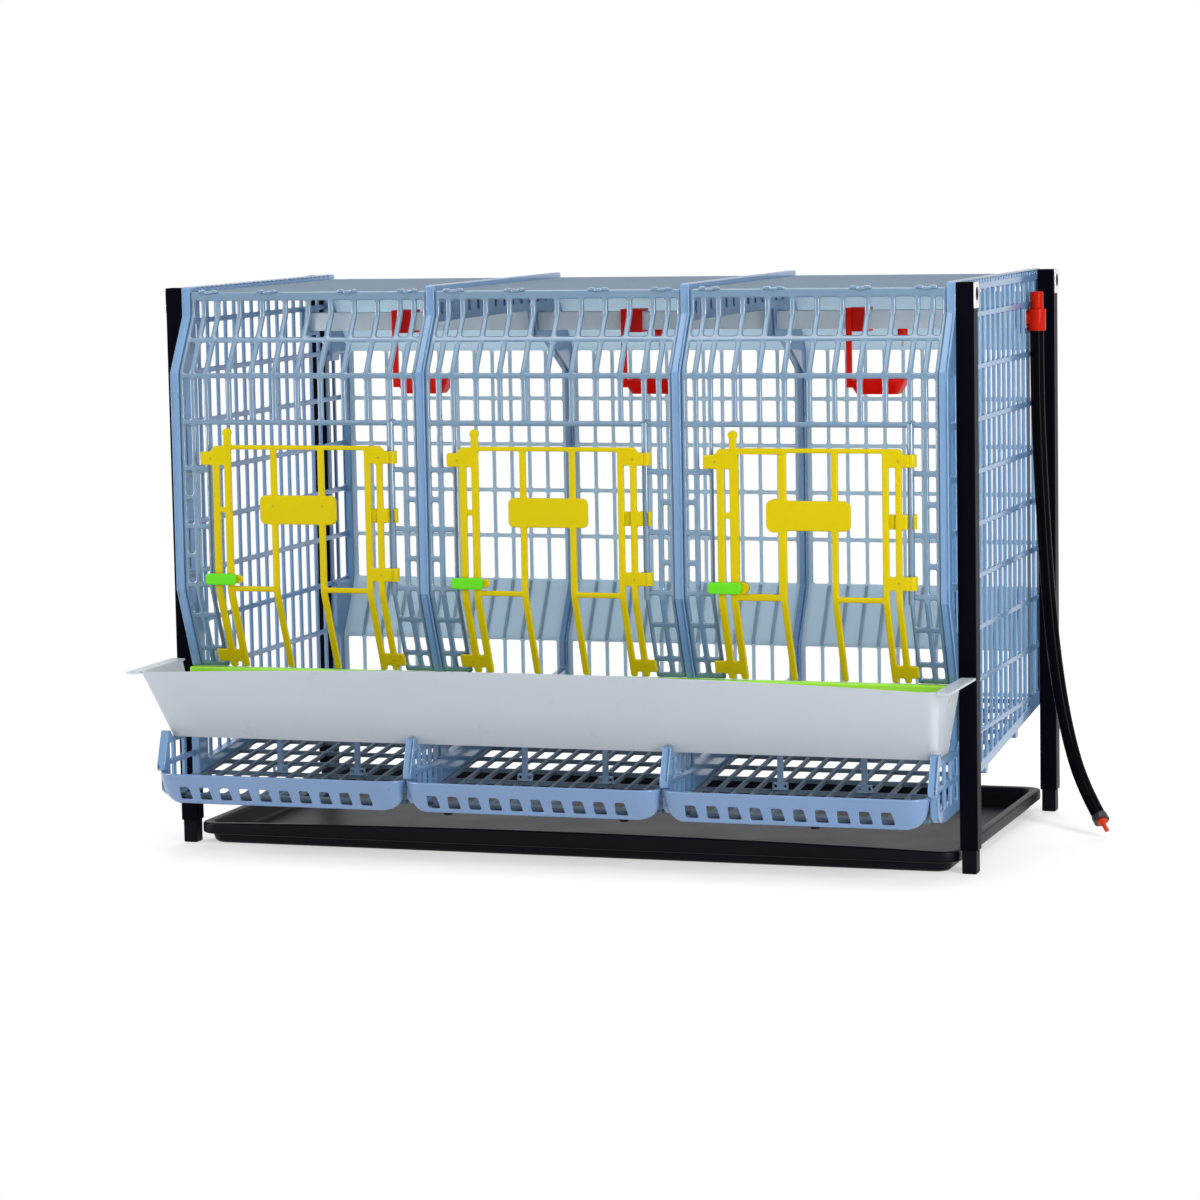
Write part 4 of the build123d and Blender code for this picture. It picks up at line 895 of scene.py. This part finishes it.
# The water line: white square pipe through the walls, capped in red, with red drip cups clipped on it.
# Nipples under the pipe have steel pins; an orange-red elbow at the right takes the hose.
pipe_white = moulded_finish("Pipe_white", srgb(206, 217, 226), drift=0.04, shine=0.36, through=0.15)
cup_red = moulded_finish(
    "Cup_red",
    srgb(236, 18, 4),
    drift=0.1,
    shine=0.3,
    through=0.4,
    Specular_IOR_Level=0.3,
)
elbow_red = moulded_finish("Elbow_red", srgb(168, 23, 3), drift=0.1, shine=0.26, Specular_IOR_Level=0.08)
pin_steel = moulded_finish(
    "Pin_steel",
    srgb(200, 200, 205),
    drift=0.05,
    shine=0.25,
    grain=0.0004,
    depth=0.00002,
    Metallic=1.0,
)
dress("water_pipe", pipe_white, edge=0.001)
dress("pipe_end_cap", cup_red, edge=0.001)
dress("nipple_bodies", cup_red, edge=0.0006)
for number in (1, 2, 3):
    dress(f"drinker_cup_{number}", cup_red, edge=0.0008)
    dress(f"nipple_pin_{number}", pin_steel, edge=0.0003)
dress("inlet_elbow", elbow_red, edge=0.0015)
dress("elbow_cap", elbow_red, edge=0.001)
RIB_COUNT = 4
RIB_PROUD = 0.0005
RIB_SHARE = 1 / 3
cap_low, cap_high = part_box("elbow_cap")
cap_middle = (cap_low + cap_high) / 2
cap_radius = (cap_high.x - cap_low.x) / 2 + RIB_PROUD
cap_step = (cap_high.z - cap_low.z) / (RIB_COUNT + 1)
ribs = bmesh.new()
for i in range(1, RIB_COUNT + 1):
    spot = Matrix.Translation((cap_middle.x, cap_middle.y, cap_low.z + i * cap_step))
    bmesh.ops.create_cone(
        ribs,
        cap_ends=True,
        segments=28,
        radius1=cap_radius,
        radius2=cap_radius,
        depth=RIB_SHARE * cap_step,
        matrix=spot,
    )
rib_mesh = bpy.data.meshes.new("Elbow_ribs")
ribs.to_mesh(rib_mesh)
ribs.free()
rib_mesh.materials.append(elbow_red)
elbow_ribs = bpy.data.objects.new("Elbow_ribs", rib_mesh)
bpy.context.scene.collection.objects.link(elbow_ribs)
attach(elbow_ribs, "cage")

# The manure tray: shallow black plastic pan, drawn from sheet, with a turned-out rim and rounded corners.
# It stands loose on the ground between the posts and slides out at the front; its front rim bows upwards.
TRAY_PROFILE = (
    (0.0200, 0.0000), (0.0150, 0.0004), (0.0120, 0.0030), (0.0098, 0.0100), (0.0080, 0.0120),
    (0.0015, 0.0122), (0.0003, 0.0130), (0.0000, 0.0150), (0.0000, 0.0225), (0.0008, 0.0241),
    (0.0030, 0.0245), (0.0085, 0.0243), (0.0115, 0.0232), (0.0128, 0.0205), (0.0150, 0.0060),
    (0.0180, 0.0032), (0.0230, 0.0025),
)
TRAY_CORNER = 0.022
TRAY_CORNER_STEPS = 7
TRAY_SIDE_STEPS = 16
TRAY_BOW = 0.006
RIM_LEVEL = 0.0200
tray_black = moulded_finish(
    "Tray_black",
    srgb(6, 8, 17),
    drift=0.12,
    shine=0.4,
    grain=0.0012,
    Specular_IOR_Level=0.1,
)
tray_low, tray_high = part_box("manure_tray")


def tray_ring(inset, level):
    """Rounded oblong at one level of the tray, its front edge bowed up where it is part of the rim."""
    x1 = tray_high.x - inset
    y0 = tray_low.y + inset
    y1 = tray_high.y - inset
    corner = max(TRAY_CORNER - inset / 2, TRAY_CORNER / 3)
    points = []
    for turn, (x, y) in enumerate(((x1, y1), (-x1, y1), (-x1, y0), (x1, y0))):
        middle = Vector((x - math.copysign(corner, x), y1 - corner if y == y1 else y0 + corner, level))
        for step in range(TRAY_CORNER_STEPS + 1):
            angle = math.pi / 2 * (turn + step / TRAY_CORNER_STEPS)
            points.append(middle + corner * Vector((math.cos(angle), math.sin(angle), 0)))
        if turn == 2:
            start = points[-1]
            end = Vector((x1 - corner, y0, level))
            points += [start.lerp(end, step / TRAY_SIDE_STEPS) for step in range(1, TRAY_SIDE_STEPS)]
    if level > RIM_LEVEL:
        for point in points:
            if point.y < y0 + corner / 2:
                point.z += TRAY_BOW * (1 - (point.x / tray_high.x) ** 2)
    return points


tray = bmesh.new()
tray_rows = [[tray.verts.new(point) for point in tray_ring(*spot)] for spot in TRAY_PROFILE]
for one, two in zip(tray_rows, tray_rows[1:]):
    for i in range(len(one)):
        tray.faces.new((one[i - 1], one[i], two[i], two[i - 1]))
tray.faces.new(tray_rows[0][::-1])
tray.faces.new(tray_rows[-1])
bmesh.ops.recalc_face_normals(tray, faces=tray.faces)
moulding("Manure_tray", tray, "manure_tray", "manure_tray", "black_plastic", tray_black)

# The studio: a white floor that runs on into a white surround.
# Two tall soft boxes stand left and right of the cage, with a broad one overhead and one behind.
def looked_at(nodes, links):
    """1 where a ray comes from the camera, a reflection or clear plastic, and 0 where it only lights."""
    rays = nodes.new("ShaderNodeLightPath")
    found = rays.outputs["Is Camera Ray"]
    for kind in ("Is Glossy Ray", "Is Transmission Ray"):
        either = nodes.new("ShaderNodeMath")
        either.operation = "MAXIMUM"
        links.new(found, either.inputs[0])
        links.new(rays.outputs[kind], either.inputs[1])
        found = either.outputs[0]
    return found


AMBIENT = 0.3
FLOOR_SIZE = 40.0
SHADOW_NEAR = 0.5
SHADOW_FAR = 1.5
LEAST_GLOW = 0.5
floor_mesh = bpy.data.meshes.new("Studio_floor")
shape = bmesh.new()
bmesh.ops.create_grid(shape, x_segments=1, y_segments=1, size=FLOOR_SIZE / 2)
shape.to_mesh(floor_mesh)
shape.free()
studio_floor = bpy.data.objects.new("Studio_floor", floor_mesh)
bpy.context.scene.collection.objects.link(studio_floor)
studio_floor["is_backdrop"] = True
floor_white = bpy.data.materials.new("Studio_white")
floor_white.use_nodes = True
nodes = floor_white.node_tree.nodes
links = floor_white.node_tree.links
nodes.clear()
output = nodes.new("ShaderNodeOutputMaterial")
matt = nodes.new("ShaderNodeBsdfDiffuse")
matt.inputs["Color"].default_value = (0.9, 0.9, 0.91, 1)
glow = nodes.new("ShaderNodeEmission")
glow.inputs["Strength"].default_value = 1.0
where = nodes.new("ShaderNodeTexCoord")
reach = nodes.new("ShaderNodeVectorMath")
reach.operation = "LENGTH"
links.new(where.outputs["Object"], reach.inputs[0])
fade = nodes.new("ShaderNodeMapRange")
fade.interpolation_type = "SMOOTHSTEP"
fade.inputs["From Min"].default_value = SHADOW_NEAR
fade.inputs["From Max"].default_value = SHADOW_FAR
fade.inputs["To Min"].default_value = LEAST_GLOW
links.new(reach.outputs["Value"], fade.inputs["Value"])
mix = nodes.new("ShaderNodeMixShader")
shown = nodes.new("ShaderNodeMath")
shown.operation = "MULTIPLY"
links.new(fade.outputs[0], shown.inputs[0])
links.new(looked_at(nodes, links), shown.inputs[1])
links.new(shown.outputs[0], mix.inputs[0])
links.new(matt.outputs[0], mix.inputs[1])
links.new(glow.outputs[0], mix.inputs[2])
links.new(mix.outputs[0], output.inputs[0])
floor_mesh.materials.append(floor_white)

world = bpy.data.worlds.new("Studio")
bpy.context.scene.world = world
world.use_nodes = True
nodes = world.node_tree.nodes
links = world.node_tree.links
sky = nodes["Background"]
sky.inputs["Color"].default_value = (1.0, 1.0, 1.0, 1.0)
strength = nodes.new("ShaderNodeMapRange")
strength.inputs["To Min"].default_value = AMBIENT
strength.inputs["To Max"].default_value = 1.0
links.new(looked_at(nodes, links), strength.inputs["Value"])
links.new(strength.outputs[0], sky.inputs["Strength"])


def soft_box(name, place, aim, width, height, watts, glare=True):
    data = bpy.data.lights.new(name, "AREA")
    data.shape = "RECTANGLE"
    data.size = width
    data.size_y = height
    data.energy = watts
    lamp = bpy.data.objects.new(name, data)
    lamp.location = place
    lamp.visible_glossy = glare
    lamp.rotation_euler = (Vector(aim) - Vector(place)).to_track_quat("-Z", "Y").to_euler()
    bpy.context.scene.collection.objects.link(lamp)


soft_box("Left_box", (-2.8, -1.5, 1.2), (0, 0, 0.35), 0.6, 2.2, 64)
soft_box("Right_box", (2.6, -1.9, 1.2), (0, 0, 0.35), 0.6, 2.2, 92)
soft_box("Top_box", (0.0, -0.4, 2.8), (0, 0, 0.0), 2.6, 2.2, 45)
soft_box("Back_box", (-0.2, 2.6, 1.5), (0, 0, 0.4), 2.6, 1.8, 110, False)

low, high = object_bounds()
